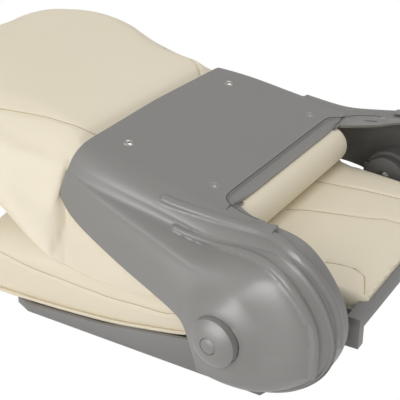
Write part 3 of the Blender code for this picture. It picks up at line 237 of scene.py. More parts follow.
SEAT_STATIONS = (
    (-0.4100, -0.0290, -0.1050, -0.0220, -0.0400, -0.0700), (-0.4000, -0.0170, -0.0990, -0.0030, -0.0300, -0.0765),
    (-0.3760, -0.0110, -0.0910, 0.0180, -0.0240, -0.0775), (-0.3250, -0.0090, -0.0830, 0.0300, -0.0240, -0.0755),
    (-0.2700, -0.0080, -0.0790, 0.0350, -0.0280, -0.0722), (-0.2200, -0.0080, -0.0780, 0.0380, -0.0320, -0.0685),
    (-0.1700, -0.0080, -0.0770, 0.0400, -0.0310, -0.0635), (-0.1200, -0.0080, -0.0770, 0.0400, -0.0270, -0.0550),
    (-0.0800, -0.0090, -0.0770, 0.0400, -0.0230, -0.0478), (-0.0600, -0.0130, -0.0770, 0.0390, -0.0200, -0.0440),
    (-0.0420, -0.0350, -0.0780, 0.0380, -0.0160, -0.0385), (-0.0200, -0.0450, -0.0790, 0.0360, -0.0120, -0.0250),
    (0.0150, -0.0510, -0.0810, 0.0340, -0.0080, -0.0200), (0.0500, -0.0570, -0.0830, 0.0320, -0.0040, -0.0150),
    (0.0780, -0.0735, -0.0850, 0.0305, 0.0040, -0.0110), (0.1000, -0.0735, -0.0870, 0.0300, 0.0100, -0.0090),
    (0.1230, -0.0790, -0.0950, 0.0280, 0.0140, -0.0070),
)
SEAT_CROWN_SHARES = (0.0, 0.05, 0.20, 0.42, 0.60, 0.68, 0.76, 0.90, 1.0)
SEAT_CROWN_LIFTS = (0.0018, 0.0018, 0.0018, 0.0016, 0.0014, 0.0012, 0.0010, 0.0006, 0.0)
SEAT_BASE_SHARES = (0.94, 0.5, 0.0)
SEAT_SHOULDER_STEPS = 6
SEAT_LIFT_ENDS = (-0.375, 0.125)
SEAT_LIFT_LENGTH = 0.03
PIPING_STATIONS = 9

# Cloth that stuffs the cushions: how it is run, and how far the cover may move from its pattern.
CLOTH_FRAMES = 14
CLOTH_QUALITY = 4
CLOTH_MASS = 0.4
CLOTH_STIFFNESS = 30.0
FREE_COVER_MOVE = 0.004
SHELLED_FROM_Y = -0.262
PANEL_COVER_DEPTH = 0.020
SHELLED_COVER_MOVE = 0.0004
WING_FROM_X = 0.16
WING_COVER_MOVE = 0.001
SEAT_TOP_FROM_Z = -0.02
SEAT_TOP_MOVE = 0.003
SEAT_REAR_FROM_Y = -0.02
SEAT_REAR_MOVE = 0.0003
SEAT_SIDE_MOVE = 0.001

# Spacing of the points on lines that are laid over the surfaces.
LINE_STEP = 0.004
FINE_STEP = 0.0008
SEAM_STEP = 0.001
SEAM_HALF_WIDTH = 0.008

# Turned fittings of the back, as (radius, height) from the panel.
CUP_WASHER = (
    (0.0030, 0.0002), (0.0070, 0.0002), (0.0072, 0.0006), (0.0066, 0.0014), (0.0056, 0.0019), (0.0047, 0.0016),
    (0.0040, 0.0008), (0.0030, 0.0006),
)
SCREW_HEAD = ((0.0, 0.0003), (0.0041, 0.0004), (0.0044, 0.0010), (0.0036, 0.0016), (0.0020, 0.0020), (0.0, 0.0021))
RECESS_SIZE = (0.0052, 0.0012, 0.0030)
RECESS_TURN = 0.4
STITCH_SECTION = (0.0007, 0.0006)
ROLL_END_SHARES = ((0.0, 0.0), (0.30, 0.0), (0.62, 0.05), (0.86, 0.16), (0.97, 0.34), (1.0, 0.55))
ROLL_BODY_X = (-0.07, 0.0, 0.07)

# Crests of the two corner ribs, as in the solids.
OUTER_RIB = (
    (-0.0380, -0.1151, 0.1057), (-0.0379, -0.0948, 0.1025), (-0.0387, -0.0682, 0.1000), (-0.0356, -0.0358, 0.1000),
    (-0.0305, -0.0047, 0.1019), (-0.0267, 0.0162, 0.1033), (-0.0229, 0.0305, 0.1047), (-0.0133, 0.0474, 0.1073),
    (-0.0011, 0.0653, 0.1099), (-0.0014, 0.0773, 0.1012), (-0.0009, 0.0898, 0.0905), (-0.0018, 0.1004, 0.0787),
    (-0.0027, 0.1076, 0.0682), (-0.0044, 0.1144, 0.0565), (-0.0024, 0.1222, 0.0358), (0.0037, 0.1261, 0.0180),
)
INNER_RIB = (
    (-0.0250, -0.0923, 0.0806), (-0.0235, -0.0753, 0.0790), (-0.0213, -0.0577, 0.0784), (-0.0146, -0.0274, 0.0813),
    (-0.0069, 0.0024, 0.0854), (0.0024, 0.0260, 0.0896), (0.0136, 0.0463, 0.0944), (0.0201, 0.0604, 0.0935),
    (0.0210, 0.0715, 0.0841), (0.0207, 0.0813, 0.0747), (0.0211, 0.0901, 0.0642), (0.0208, 0.0976, 0.0517),
    (0.0205, 0.1039, 0.0399), (0.0215, 0.1074, 0.0244), (0.0232, 0.1080, 0.0065), (0.0183, 0.1037, -0.0210),
)

# The studio's floor, its gap below the seat and half its side, and the lamps: name, place from the hinge, size in
# metres and whether matt surfaces are lit by it.
FLOOR_GAP = 0.0005
FLOOR_SIZE = 6.0
SOFTBOXES = (
    ("softbox_front", (0.9, -1.4, 1.5), 1.4, True),
    ("softbox_side", (1.9, -0.1, 1.0), 0.8, True),
    ("softbox_sheen", (1.60, -0.42, 0.22), 1.3, False),
    ("softbox_top", (-0.6, 0.3, 2.0), 1.6, True),
)

# Lines read from the photograph, in its pixels.
DRUM_CREASE_PX = (((238, 353.5), (255.9, 358.9), (275.4, 361), (299.3, 360.5), (316, 358.6)),
                  ((229, 371.8), (245, 377.3), (272.2, 381.1), (293.9, 380.6), (306, 377.8)))
OPENING_PX = (
    (296.5, 143.2), (270, 163.2), (256, 174), (245, 182.2), (232, 192.6), (227.3, 198.2), (229.6, 204), (236.5, 209.5),
    (246, 214.6), (254, 218.4), (262, 220.6),
)
BACK_SEAM_PX = ((0, 108.7), (23, 112.6), (46, 117), (59.7, 121), (78, 126.8), (98, 136))
SEAT_SEAM_PX = (
    ((300, 177), (315, 180.4), (340, 184.8), (370, 190.6), (400, 197.8)),
    ((286.6, 208.5), (310, 209.6), (340, 213.5), (370, 217.5), (385, 218.5), (400, 222.2)),
    ((325.4, 261), (340, 263.3), (353, 267), (360, 271), (364, 275), (365, 284), (365, 293)),
)
ARM_TAB_PX = ((264.2, 224.2), (278.2, 225.6), (271.8, 233.8), (259.2, 229.0))
ARM_TAB_CENTRE_PX = (265.5, 229.5)
SEAT_REAR_STITCH_PX = ((367.5, 292), (376, 283), (388, 268), (399.6, 254))
SEAT_SIDE_SEAM_PX = ((0, 252), (27, 266), (67, 282), (107, 297), (134, 304.5), (161, 312.6), (177, 314.6))
SEAT_TOP_STITCH_PX = ((0, 258), (40, 277), (94, 298.5), (121, 306.5), (161, 317), (179.5, 320))


def place(x, y, z):
    return Vector((x, y, z)) + HINGE


def panel_z(y):
    return PANEL_Z - (y - PANEL_REF_Y) * PANEL_SLOPE


def linear(code):
    """An sRGB hex colour as linear RGBA."""
    parts = [int(code[i:i + 2], 16) / 255.0 for i in (1, 3, 5)]
    return tuple(c / 12.92 if c <= 0.04045 else ((c + 0.055) / 1.055) ** 2.4 for c in parts) + (1.0,)


# ---------------------------------------------------------------- materials

def node(tree, kind, links=(), **values):
    """Add a node, set its attributes or sockets, and link (socket name, source socket) pairs."""
    made = tree.nodes.new(kind)
    for key, value in values.items():
        if hasattr(made, key):
            setattr(made, key, value)
        else:
            made.inputs[key.replace("_", " ")].default_value = value
    for name, source in links:
        tree.links.new(source, made.inputs[name])
    return made


def surface_material(name, color, roughness, metallic=0.0):
    mat = bpy.data.materials.new(name)
    mat.use_nodes = True
    shader = mat.node_tree.nodes["Principled BSDF"]
    shader.inputs["Base Color"].default_value = linear(color)
    shader.inputs["Roughness"].default_value = roughness
    shader.inputs["Metallic"].default_value = metallic
    shader.inputs["IOR"].default_value = 1.5
    mat.diffuse_color = linear(color)
    return mat, mat.node_tree, shader


def object_noise(tree, scale, detail):
    coords = node(tree, "ShaderNodeTexCoord")
    noise = node(tree, "ShaderNodeTexNoise", [("Vector", coords.outputs["Object"])], Scale=scale, Detail=detail)
    return noise.outputs["Fac"]


def two_tones(tree, shader, factor, color, shade):
    """Let the base colour drift between two close tones."""
    tone = node(tree, "ShaderNodeMix", [("Factor", factor)], data_type="RGBA")
    for socket, value in zip([s for s in tone.inputs if s.type == "RGBA"], (color, shade)):
        socket.default_value = linear(value)
    tree.links.new([s for s in tone.outputs if s.type == "RGBA"][0], shader.inputs["Base Color"])


def grain_bump(tree, shader, height, strength):
    bump = node(tree, "ShaderNodeBump", [("Height", height)], Strength=strength, Distance=0.0002)
    tree.links.new(bump.outputs["Normal"], shader.inputs["Normal"])


def vary_roughness(tree, shader, factor, low, high):
    rough = node(tree, "ShaderNodeMapRange", [("Value", factor)], To_Min=low, To_Max=high)
    tree.links.new(rough.outputs["Result"], shader.inputs["Roughness"])


def moulded_plastic(name, color, shade, roughness, grain_mm, grain_depth):
    """Injection-moulded ABS with a fine spark-eroded grain: satin, slightly uneven in tone."""
    mat, tree, shader = surface_material(name, color, roughness)
    two_tones(tree, shader, object_noise(tree, 9.0, 3.0), color, shade)
    grain = object_noise(tree, 1000.0 / grain_mm, 4.0)
    grain_bump(tree, shader, grain, grain_depth)
    vary_roughness(tree, shader, grain, roughness - 0.05, roughness + 0.08)
    return mat


def marine_vinyl(name, color, shade):
    """Marine vinyl over foam: fine leather grain of about 1 mm cells, soft satin gloss."""
    mat, tree, shader = surface_material(name, color, 0.58)
    shader.inputs["Coat Weight"].default_value = 0.08
    shader.inputs["Coat Roughness"].default_value = 0.35
    shader.inputs["Specular IOR Level"].default_value = 0.30
    coords = node(tree, "ShaderNodeTexCoord")
    cells = node(tree, "ShaderNodeTexVoronoi", [("Vector", coords.outputs["Object"])], Scale=700.0)
    fine = object_noise(tree, 1600.0, 3.0)
    height = node(tree, "ShaderNodeMath", [(0, cells.outputs["Distance"]), (1, fine)], operation="ADD")
    grain_bump(tree, shader, height.outputs["Value"], 0.25)
    two_tones(tree, shader, object_noise(tree, 5.0, 2.0), color, shade)
    return mat


def brushed_stainless(name, color, roughness):
    """Stainless steel fittings, turned and lightly polished."""
    mat, tree, shader = surface_material(name, color, roughness, metallic=1.0)
    vary_roughness(tree, shader, object_noise(tree, 1500.0, 2.0), roughness * 0.8, roughness * 1.3)
    return mat


def birch_plywood(name):
    """Sealed birch plywood: warm, with long stretched grain."""
    mat, tree, shader = surface_material(name, "#B89468", 0.65)
    coords = node(tree, "ShaderNodeTexCoord")
    mapping = node(tree, "ShaderNodeMapping", [("Vector", coords.outputs["Object"])])
    mapping.inputs["Scale"].default_value = (120.0, 8.0, 120.0)
    grain = node(tree, "ShaderNodeTexNoise", [("Vector", mapping.outputs["Vector"])], Scale=1.0, Detail=5.0)
    two_tones(tree, shader, grain.outputs["Fac"], "#A07C50", "#C9A87A")
    return mat


MATS = {}


def make_materials():
    MATS["shell_plastic"] = moulded_plastic("shell_abs_grey", "#84827F", "#888683", 0.40, 0.8, 0.25)
    MATS["pan_plastic"] = moulded_plastic("pan_abs_grey", "#7C7B79", "#817F7D", 0.48, 0.8, 0.3)
    MATS["cream_vinyl"] = marine_vinyl("cream_marine_vinyl", "#ECE3CE", "#E8DDC5")
    MATS["stainless_steel"] = brushed_stainless("stainless_fitting", "#B9B8B5", 0.3)
    MATS["bright_steel"] = brushed_stainless("bright_screw", "#D2CFC8", 0.16)
    MATS["plywood"] = birch_plywood("birch_plywood")
    MATS["nylon"] = moulded_plastic("natural_nylon", "#E4E2DA", "#DCDAD2", 0.5, 1.2, 0.1)
    # Painted shade: a darker vinyl for the thin cords laid along the seams, standing in for the shade in each seam's
    # valley.
    MATS["seam_shadow"] = surface_material("seam_painted_shade_vinyl", "#B9A985", 0.75)[0]
    # Painted shade: a dark grey for the thin cord laid in the groove round the opening, standing in for the shade in
    # the groove.
    MATS["groove_painted_shade"] = surface_material("painted_groove_shade_grey", "#4A4744", 0.8)[0]
    MATS["thread"] = surface_material("polyester_thread", "#E3D9BF", 0.7)[0]


# ---------------------------------------------------------------- meshes

def new_object(name, mesh):
    obj = bpy.data.objects.new(name, mesh)
    bpy.context.scene.collection.objects.link(obj)
    return obj


def smooth_shade(mesh, sharp_degrees):
    mesh.shade_smooth()
    mesh.set_sharp_from_angle(angle=math.radians(sharp_degrees))


def link_mesh(name, bm, slot_name, smooth_degrees=35.0):
    mesh = bpy.data.meshes.new(name)
    bm.to_mesh(mesh)
    bm.free()
    mesh.materials.append(MATS[slot_name])
    smooth_shade(mesh, smooth_degrees)
    return new_object(name, mesh)


def applied(obj):
    """Replace an object's mesh by its evaluated one and drop the modifiers."""
    depsgraph = bpy.context.evaluated_depsgraph_get()
    mesh = bpy.data.meshes.new_from_object(obj.evaluated_get(depsgraph))
    obj.modifiers.clear()
    obj.data = mesh
    return obj


def subtract(obj, tool):
    """Cut one object out of another and drop the tool."""
    cut = obj.modifiers.new("cut", "BOOLEAN")
    cut.operation = "DIFFERENCE"
    cut.solver = "EXACT"
    cut.object = tool
    applied(obj)
    bpy.data.objects.remove(tool)


def close_rings(bm, low, high):
    """Faces between two rings of as many vertices; points on the axis give triangles."""
    for k in range(len(low)):
        beside = (k + 1) % len(low)
        corners = list(dict.fromkeys((low[k], low[beside], high[beside], high[k])))
        if len(corners) > 2:
            bm.faces.new(corners)


def prism(low, high):
    """Closed bmesh between two matching outlines, and the vertices of the second."""
    bm = bmesh.new()
    rings = [[bm.verts.new(p) for p in outline] for outline in (low, high)]
    for ring in rings:
        bm.faces.new(ring)
    close_rings(bm, *rings)
    bmesh.ops.recalc_face_normals(bm, faces=bm.faces)
    return bm, rings[1]


def copy_node(name, new_name):
    """A merged copy of a CAD node's mesh."""
    source = frame["nodes"][name]
    bm = bmesh.new()
    bm.from_mesh(source.data)
    bm.transform(source.matrix_world)
    bmesh.ops.remove_doubles(bm, verts=bm.verts, dist=0.00001)
    mesh = bpy.data.meshes.new(new_name)
    bm.to_mesh(mesh)
    bm.free()
    return new_object(new_name, mesh)


def turned(name, profile, matrix, slot_name, segments=96, smooth=30.0):
    """Turn a (radius, height) profile about local Z, closed on the axis or as a ring."""
    bm = bmesh.new()
    rings = []
    for radius, height in profile:
        if radius == 0.0:
            rings.append([bm.verts.new((0.0, 0.0, height))] * segments)
        else:
            angles = [2.0 * math.pi * k / segments for k in range(segments)]
            rings.append([bm.verts.new((radius * math.cos(a), radius * math.sin(a), height)) for a in angles])
    pairs = list(zip(rings, rings[1:]))
    if profile[0][0] != 0.0:
        pairs.append((rings[-1], rings[0]))
    for low, high in pairs:
        close_rings(bm, low, high)
    bmesh.ops.transform(bm, matrix=matrix, verts=bm.verts)
    bmesh.ops.recalc_face_normals(bm, faces=bm.faces)
    return link_mesh(name, bm, slot_name, smooth)


def hinge_matrix(side, x=0.0, tilt=0.0):
    outward = Matrix.Rotation(side * math.pi / 2.0, 4, "Y")
    lean = Matrix.Rotation(-side * tilt, 4, "Z")
    return Matrix.Translation(place(side * x, 0.0, 0.0)) @ lean @ outward


def view_ray(px, py):
    half = IMAGE_SIZE / 2.0
    return (CAMERA_LOOK * FOCAL_PIXELS + CAMERA_RIGHT * (px - half) - CAMERA_UP * (py - half)).normalized()


def catmull_rom(a, b, c, d, t):
    """Point at t between b and c; works on vectors and on arrays."""
    return 0.5 * (2 * b + (c - a) * t + (2 * a - 5 * b + 4 * c - d) * t ** 2 + (3 * b - a - 3 * c + d) * t ** 3)


def smooth_line(points, step):
    """Catmull-Rom line through the points, resampled at about the step."""
    pts = [Vector(p) for p in points]
    pts = [pts[0] * 2.0 - pts[1]] + pts + [pts[-1] * 2.0 - pts[-2]]
    line = []
    for k in range(1, len(pts) - 2):
        a, b, c, d = pts[k - 1:k + 3]
        count = max(2, int((c - b).length / step) + 1)
        line += [catmull_rom(a, b, c, d, i / count) for i in range(count)]
    line.append(pts[-2])
    return line


def pixel_path(pixels, tree, step=0.002):
    """Follow the photograph's line on the surface that it was seen on."""
    fine = smooth_line([Vector((px, py, 0.0)) for px, py in pixels], 2.0)
    hits = [tree.ray_cast(CAMERA_PLACE, view_ray(p.x, p.y))[0] for p in fine]
    return smooth_line([hit for hit in hits if hit is not None], step)


def dropped(path, tree):
    """Move a path onto the surface nearest to it."""
    return [tree.find_nearest(p)[0] for p in path]


def mirrored(path):
    return [Vector((-p.x, p.y, p.z)) for p in path]


def eased(grid, rounds):
    """Even out an array along its first axis, with its ends held."""
    for _round in range(rounds):
        grid[1:-1] = 0.25 * grid[:-2] + 0.5 * grid[1:-1] + 0.25 * grid[2:]
    return grid


def relaxed(path, tree, rounds, step=FINE_STEP):
    """Ease the kinks out of a path, with its ends held, and lay it back on the surface."""
    line = eased(np.array([tuple(p) for p in smooth_line(path, LINE_STEP)]), rounds)
    return dropped(smooth_line([Vector(p) for p in line], step), tree)


def object_tree(obj):
    bm = bmesh.new()
    bm.from_mesh(obj.data)
    tree = BVHTree.FromBMesh(bm)
    bm.free()
    return tree


# ---------------------------------------------------------------- geometry nodes

def new_group(name, inputs):
    """Geometry node group with named inputs: (name, socket type) pairs after the geometry."""
    group = bpy.data.node_groups.new(name, "GeometryNodeTree")
    group.interface.new_socket("Geometry", in_out="OUTPUT", socket_type="NodeSocketGeometry")
    for socket, kind in (("Geometry", "NodeSocketGeometry"),) + inputs:
        group.interface.new_socket(socket, in_out="INPUT", socket_type=kind)
    return group, group.nodes.new("NodeGroupInput"), group.nodes.new("NodeGroupOutput")


def close_group(group, geometry, entry, end):
    """Every group ends by making its instances real and setting their material."""
    real = node(group, "GeometryNodeRealizeInstances", [("Geometry", geometry)])
    paint = node(group, "GeometryNodeSetMaterial",
                 [("Geometry", real.outputs["Geometry"]), ("Material", entry.outputs["Material"])])
    group.links.new(paint.outputs["Geometry"], end.inputs["Geometry"])
    return group


def built_once(build):
    """Give the node group that the function is named for, and build it the first time."""
    def found():
        return bpy.data.node_groups.get(build.__name__) or build(build.__name__)
    return found


def set_along(group, points, entry, source, rotation):
    """Stand the object of an input on every point, turned as told."""
    piece = node(group, "GeometryNodeObjectInfo", [("Object", entry.outputs[source])])
    spread = node(group, "GeometryNodeInstanceOnPoints",
                  [("Points", points), ("Instance", piece.outputs["Geometry"]), ("Rotation", rotation)])
    return spread.outputs["Instances"]


def facing_attribute(group):
    facing = node(group, "GeometryNodeInputNamedAttribute", data_type="FLOAT_VECTOR")
    facing.inputs["Name"].default_value = "facing"
    return facing.outputs["Attribute"]


@built_once
def cord_on_path(name):
    """Sweep a round cord along every path."""
    group, entry, end = new_group(name, (("Radius", "NodeSocketFloat"), ("Material", "NodeSocketMaterial")))
    curve = node(group, "GeometryNodeMeshToCurve", [("Mesh", entry.outputs["Geometry"])])
    section = node(group, "GeometryNodeCurvePrimitiveCircle", [("Radius", entry.outputs["Radius"])], Resolution=12)
    sweep = node(group, "GeometryNodeCurveToMesh",
                 [("Curve", curve.outputs["Curve"]), ("Profile Curve", section.outputs["Curve"])])
    sweep.inputs["Fill Caps"].default_value = True
    return close_group(group, sweep.outputs["Mesh"], entry, end)


@built_once
def stitches_on_path(name):
    """Set stitches at an even pitch along every path, lying on the cover."""
    group, entry, end = new_group(name, (("Pitch", "NodeSocketFloat"), ("Stitch", "NodeSocketObject"),
                                         ("Material", "NodeSocketMaterial")))
    curve = node(group, "GeometryNodeMeshToCurve", [("Mesh", entry.outputs["Geometry"])])
    even = node(group, "GeometryNodeResampleCurve",
                [("Curve", curve.outputs["Curve"]), ("Length", entry.outputs["Pitch"])], mode="LENGTH")
    tangent = node(group, "GeometryNodeInputTangent")
    turn = node(group, "FunctionNodeAlignRotationToVector", [("Vector", tangent.outputs["Tangent"])], axis="X")
    lie = node(group, "FunctionNodeAlignRotationToVector",
               [("Rotation", turn.outputs["Rotation"]), ("Vector", facing_attribute(group))], axis="Z", pivot_axis="X")
    spread = set_along(group, even.outputs["Curve"], entry, "Stitch", lie.outputs["Rotation"])
    return close_group(group, spread, entry, end)


@built_once
def fitting_on_points(name):
    """Set one fitting on every point, its axis along the point's normal."""
    group, entry, end = new_group(name, (("Fitting", "NodeSocketObject"), ("Material", "NodeSocketMaterial")))
    lie = node(group, "FunctionNodeAlignRotationToVector", [("Vector", facing_attribute(group))], axis="Z")
    spread = set_along(group, entry.outputs["Geometry"], entry, "Fitting", lie.outputs["Rotation"])
    return close_group(group, spread, entry, end)


def follow(name, paths, group, slot_name, inputs, tree=None, facing=None, joined=True):
    """Run a node group over paths and keep the result as one plain mesh."""
    mesh = bpy.data.meshes.new(name)
    points = [p for path in paths for p in path]
    edges = []
    start = 0
    for path in paths:
        if joined:
            edges += [(start + k, start + k + 1) for k in range(len(path) - 1)]
        start += len(path)
    mesh.from_pydata([tuple(p) for p in points], edges, [])
    normals = mesh.attributes.new("facing", "FLOAT_VECTOR", "POINT")
    for k, p in enumerate(points):
        normals.data[k].vector = facing or (tree.find_nearest(p)[1] if tree else (0.0, 0.0, 1.0))
    obj = new_object(name, mesh)
    modifier = obj.modifiers.new("build", "NODES")
    modifier.node_group = group
    sockets = {item.name: item.identifier for item in group.interface.items_tree if item.in_out == "INPUT"}
    for key, value in {**inputs, "Material": MATS[slot_name]}.items():
        modifier[sockets[key]] = value
    applied(obj)
    smooth_shade(obj.data, 40.0)
    return obj


def follow_cord(name, paths, slot_name, radius):
    return follow(name, paths, cord_on_path(), slot_name, {"Radius": radius})


def finish_piece(obj, body, slot_name, *replaced):
    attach(obj, body)
    if replaced:
        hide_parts(*replaced)


# ---------------------------------------------------------------- back shell

def side_columns(top, flat_x, shoulder_x, edge, rise_length, drop):
    """Points of one station from the panel's flat round the shoulder and down the side to its edge."""
    top_y, top_z = top
    edge_x, edge_y, edge_z = edge
    span = Vector((edge_y - top_y, edge_z - top_z))
    length = span.length
    along = span / length
    points = [(flat_x, top_y, top_z)]
    for step in range(1, ROUND_STEPS + 1):
        turn = 0.5 * math.pi * step / ROUND_STEPS
        inset = drop * (1.0 - math.cos(turn))
        out = flat_x + (shoulder_x - flat_x) * math.sin(turn)
        points.append((out, top_y + along.x * inset, top_z + along.y * inset))
    for share in FACE_SHARES:
        inset = drop + (length - drop) * share
        rise = min(inset / rise_length, 1.0)
        out = shoulder_x + (edge_x - shoulder_x) * (1.0 - (1.0 - rise) ** 2)
        points.append((out, top_y + along.x * inset, top_z + along.y * inset))
    return points


def shell_grid():
    """Stations by columns of the near half: panel part, lip part and side part."""
    panel, lip, side = [], [], []
    for index, (top_y, top_z, flat_x, shoulder_x, *edge) in enumerate(SHELL_STATIONS):
        length = math.hypot(edge[1] - top_y, edge[2] - top_z)
        blend = max(0.0, (index - LAST_PANEL_STATION) / (len(SHELL_STATIONS) - LAST_PANEL_STATION))
        rise = length + (DRUM_RISE_LENGTH - length) * blend
        drop = CORNER_DROP + (DRUM_ROUND - CORNER_DROP) * blend
        columns = side_columns((top_y, top_z), flat_x, shoulder_x, edge, rise, drop)
        if index <= LAST_PANEL_STATION:
            row = []
            for share in PANEL_SHARES:
                y = top_y - PANEL_BOW * (1.0 - share) if index == 0 else top_y
                row.append((flat_x * share, y, panel_z(y)))
            if index == LAST_PANEL_STATION:
                row[-2] = (LIP_EDGES[0], top_y, panel_z(top_y))
                row[-1] = (LIP_CRESTS[0], top_y, top_z)
            panel.append(row + [columns[0]])
        if index >= LAST_PANEL_STATION:
            k = index - LAST_PANEL_STATION
            edge_z = panel_z(top_y) if k == 0 else top_z - LIP_DROP * (1.0 - blend)
            lip.append([(LIP_EDGES[k], top_y, edge_z), (LIP_CRESTS[k], top_y, top_z), columns[0]])
        side.append(columns)
    start = Vector(DRUM_EDGE_START)
    end = Vector(DRUM_EDGE_END)
    for index, (degrees, radius, inner_x) in enumerate(DRUM_STATIONS):
        angle = math.radians(degrees)
        top = (radius * math.cos(angle), radius * math.sin(angle))
        low = start.lerp(end, index / (len(DRUM_STATIONS) - 1))
        flat_x = max(DRUM_SHOULDER_X - DRUM_ROUND, inner_x + RIM_LAND * 0.6)
        columns = side_columns(top, flat_x, DRUM_SHOULDER_X, (DRUM_EDGE_X, low.x, low.y), DRUM_RISE_LENGTH, DRUM_ROUND)
        lip.append([(inner_x, *top), (inner_x + 0.35 * RIM_LAND, *top), columns[0]])
        side.append(columns)
    return np.array(panel), np.array(lip), np.array(side)


def refine(grid, row_counts, column_counts):
    """Pass a cubic surface through a grid of points."""
    return np.swapaxes(refine_rows(np.swapaxes(refine_rows(grid, row_counts), 0, 1), column_counts), 0, 1)


def refine_rows(grid, counts):
    padded = np.concatenate([2 * grid[:1] - grid[1:2], grid, 2 * grid[-1:] - grid[-2:-1]])
    rows = []
    for k, count in enumerate(counts):
        rows += [catmull_rom(*padded[k:k + 4], i / count) for i in range(count)]
    return np.array(rows + [grid[-1]])


def even_rows(grid, rounds):
    """Let each line across the stations run evenly without shrinking, with its ends held."""
    for _round in range(rounds):
        for factor in (0.5, -0.515):
            middle = 0.5 * (grid[:-2] + grid[2:])
            grid[1:-1] += factor * (middle - grid[1:-1])
    return grid


def even_round_hinge(grid, rounds):
    """Even the rows in polar terms about the hinge, so that the drum keeps its radius."""
    angles = np.unwrap(np.arctan2(grid[..., 2], grid[..., 1]), axis=0)
    polar = eased(np.stack([grid[..., 0], np.hypot(grid[..., 1], grid[..., 2]), angles], axis=-1), rounds)
    x, radius, angle = polar[..., 0], polar[..., 1], polar[..., 2]
    return np.stack([x, radius * np.cos(angle), radius * np.sin(angle)], axis=-1)


def straight_columns(grid, counts):
    """Divide the columns evenly, with straight runs between them."""
    columns = []
    for k, count in enumerate(counts):
        columns += [grid[:, k] + (grid[:, k + 1] - grid[:, k]) * (i / count) for i in range(count)]
    return np.stack(columns + [grid[:, -1]], axis=1)


def smooth_share(share):
    return share * share * (3.0 - 2.0 * share)


def hub_swell(grid):
    """Raise the drum's face to the land round the hinge cap."""
    radius = np.hypot(grid[..., 1], grid[..., 2])
    share = np.clip((HUB_SWELL_R - radius) / (HUB_SWELL_R - HUB_LAND_R), 0.0, 1.0)
    grid[..., 0] += np.where(grid[..., 0] > HUB_INNER_X, HUB_SWELL * smooth_share(share), 0.0)
    return grid


def shell_surface(detail):
    """Bmesh of the shell's outer skin, both halves."""
    def cuts(counts):
        return [max(2, int(count * detail)) for count in counts]

    panel, lip, side = shell_grid()
    per_row = cuts((SHELL_ROW_CUTS,))
    round_columns = cuts((ROUND_COLUMN_CUTS,) * ROUND_STEPS)
    rounds = int(EASING_ROUNDS * detail * detail)
    fine_side = refine(side, per_row * (len(side) - 1), round_columns + cuts(FACE_COLUMN_CUTS))
    fine_side = even_round_hinge(fine_side, rounds)
    face = fine_side[:, sum(round_columns[:ROUND_COLUMNS_HELD]):]
    face[:] = np.swapaxes(even_rows(np.swapaxes(face.copy(), 0, 1), rounds), 0, 1)
    fine_side = hub_swell(fine_side)
    fine_panel = even_round_hinge(refine(panel, per_row * (len(panel) - 1), cuts(PANEL_COLUMN_CUTS)), rounds)
    fine_lip = straight_columns(refine_rows(lip, per_row * (len(lip) - 1)), cuts(LIP_COLUMN_CUTS))
    fine_lip = even_round_hinge(fine_lip, rounds)
    fine_lip[:, -1] = fine_side[-len(fine_lip):, 0]
    fine_panel[:, -1] = fine_side[:len(fine_panel), 0]
    fine_panel[-1, -fine_lip.shape[1]:] = fine_lip[0]
    bm = bmesh.new()
    for sign, _tag in SIDES:
        for patch in (fine_panel, fine_lip, fine_side):
            verts = [[bm.verts.new(place(sign * p[0], p[1], p[2])) for p in row] for row in patch]
            for row0, row1 in zip(verts, verts[1:]):
                for k in range(len(row0) - 1):
                    corners = (row0[k], row0[k + 1], row1[k + 1], row1[k])
                    bm.faces.new(corners if sign > 0 else corners[::-1])
    bmesh.ops.remove_doubles(bm, verts=bm.verts, dist=0.000001)
    bmesh.ops.recalc_face_normals(bm, faces=bm.faces)
    if sum(f.normal.z * f.calc_area() for f in bm.faces) < 0.0:
        bmesh.ops.reverse_faces(bm, faces=bm.faces)
    return bm


def folded(co):
    """The same point, or its mirror image, on the near half."""
    return Vector((abs(co.x), co.y, co.z))


def point_tree(points):
    tree = kdtree.KDTree(len(points))
    for k, p in enumerate(points):
        tree.insert(p, k)
    tree.balance()
    return tree


def displace(bm, lift_at):
    """Move each vertex along its normal by what the function says for its place."""
    bm.normal_update()
    moves = [(v, v.normal * lift_at(v.co)) for v in bm.verts]
    for v, move in moves:
        v.co += move


def split_near(bm, path, reach):
    """Halve the edges near a line, so that a crisp form can be drawn there."""
    tree = point_tree([folded(p) for p in path])
    near = {v for v in bm.verts if tree.find(folded(v.co))[2] < reach}
    edges = [e for e in bm.edges if e.verts[0] in near and e.verts[1] in near]
    bmesh.ops.subdivide_edges(bm, edges=edges, cuts=1, use_grid_fill=True)


def raise_rib(bm, path, height, half_width, crown_share=RIB_CROWN_SHARE):
    """Push the skin out into a rounded rib that follows the path on both sides."""
    tree = point_tree([folded(p) for p in path])

    def lift_at(co):
        distance = tree.find(folded(co))[2]
        if distance >= half_width:
            return 0.0
        share = min((half_width - distance) / (half_width * (1.0 - crown_share)), 1.0)
        return height * (1.0 - RIB_CROWN_FALL * (distance / half_width) ** 2) * smooth_share(share)

    displace(bm, lift_at)


def opening_line(path):
    """Near half of the line round the opening, from the middle outward."""
    near = [p for p in path[::5] if p.x > 0.02]
    return smooth_line([Vector((0.0, near[0].y, near[0].z))] + near, FINE_STEP)


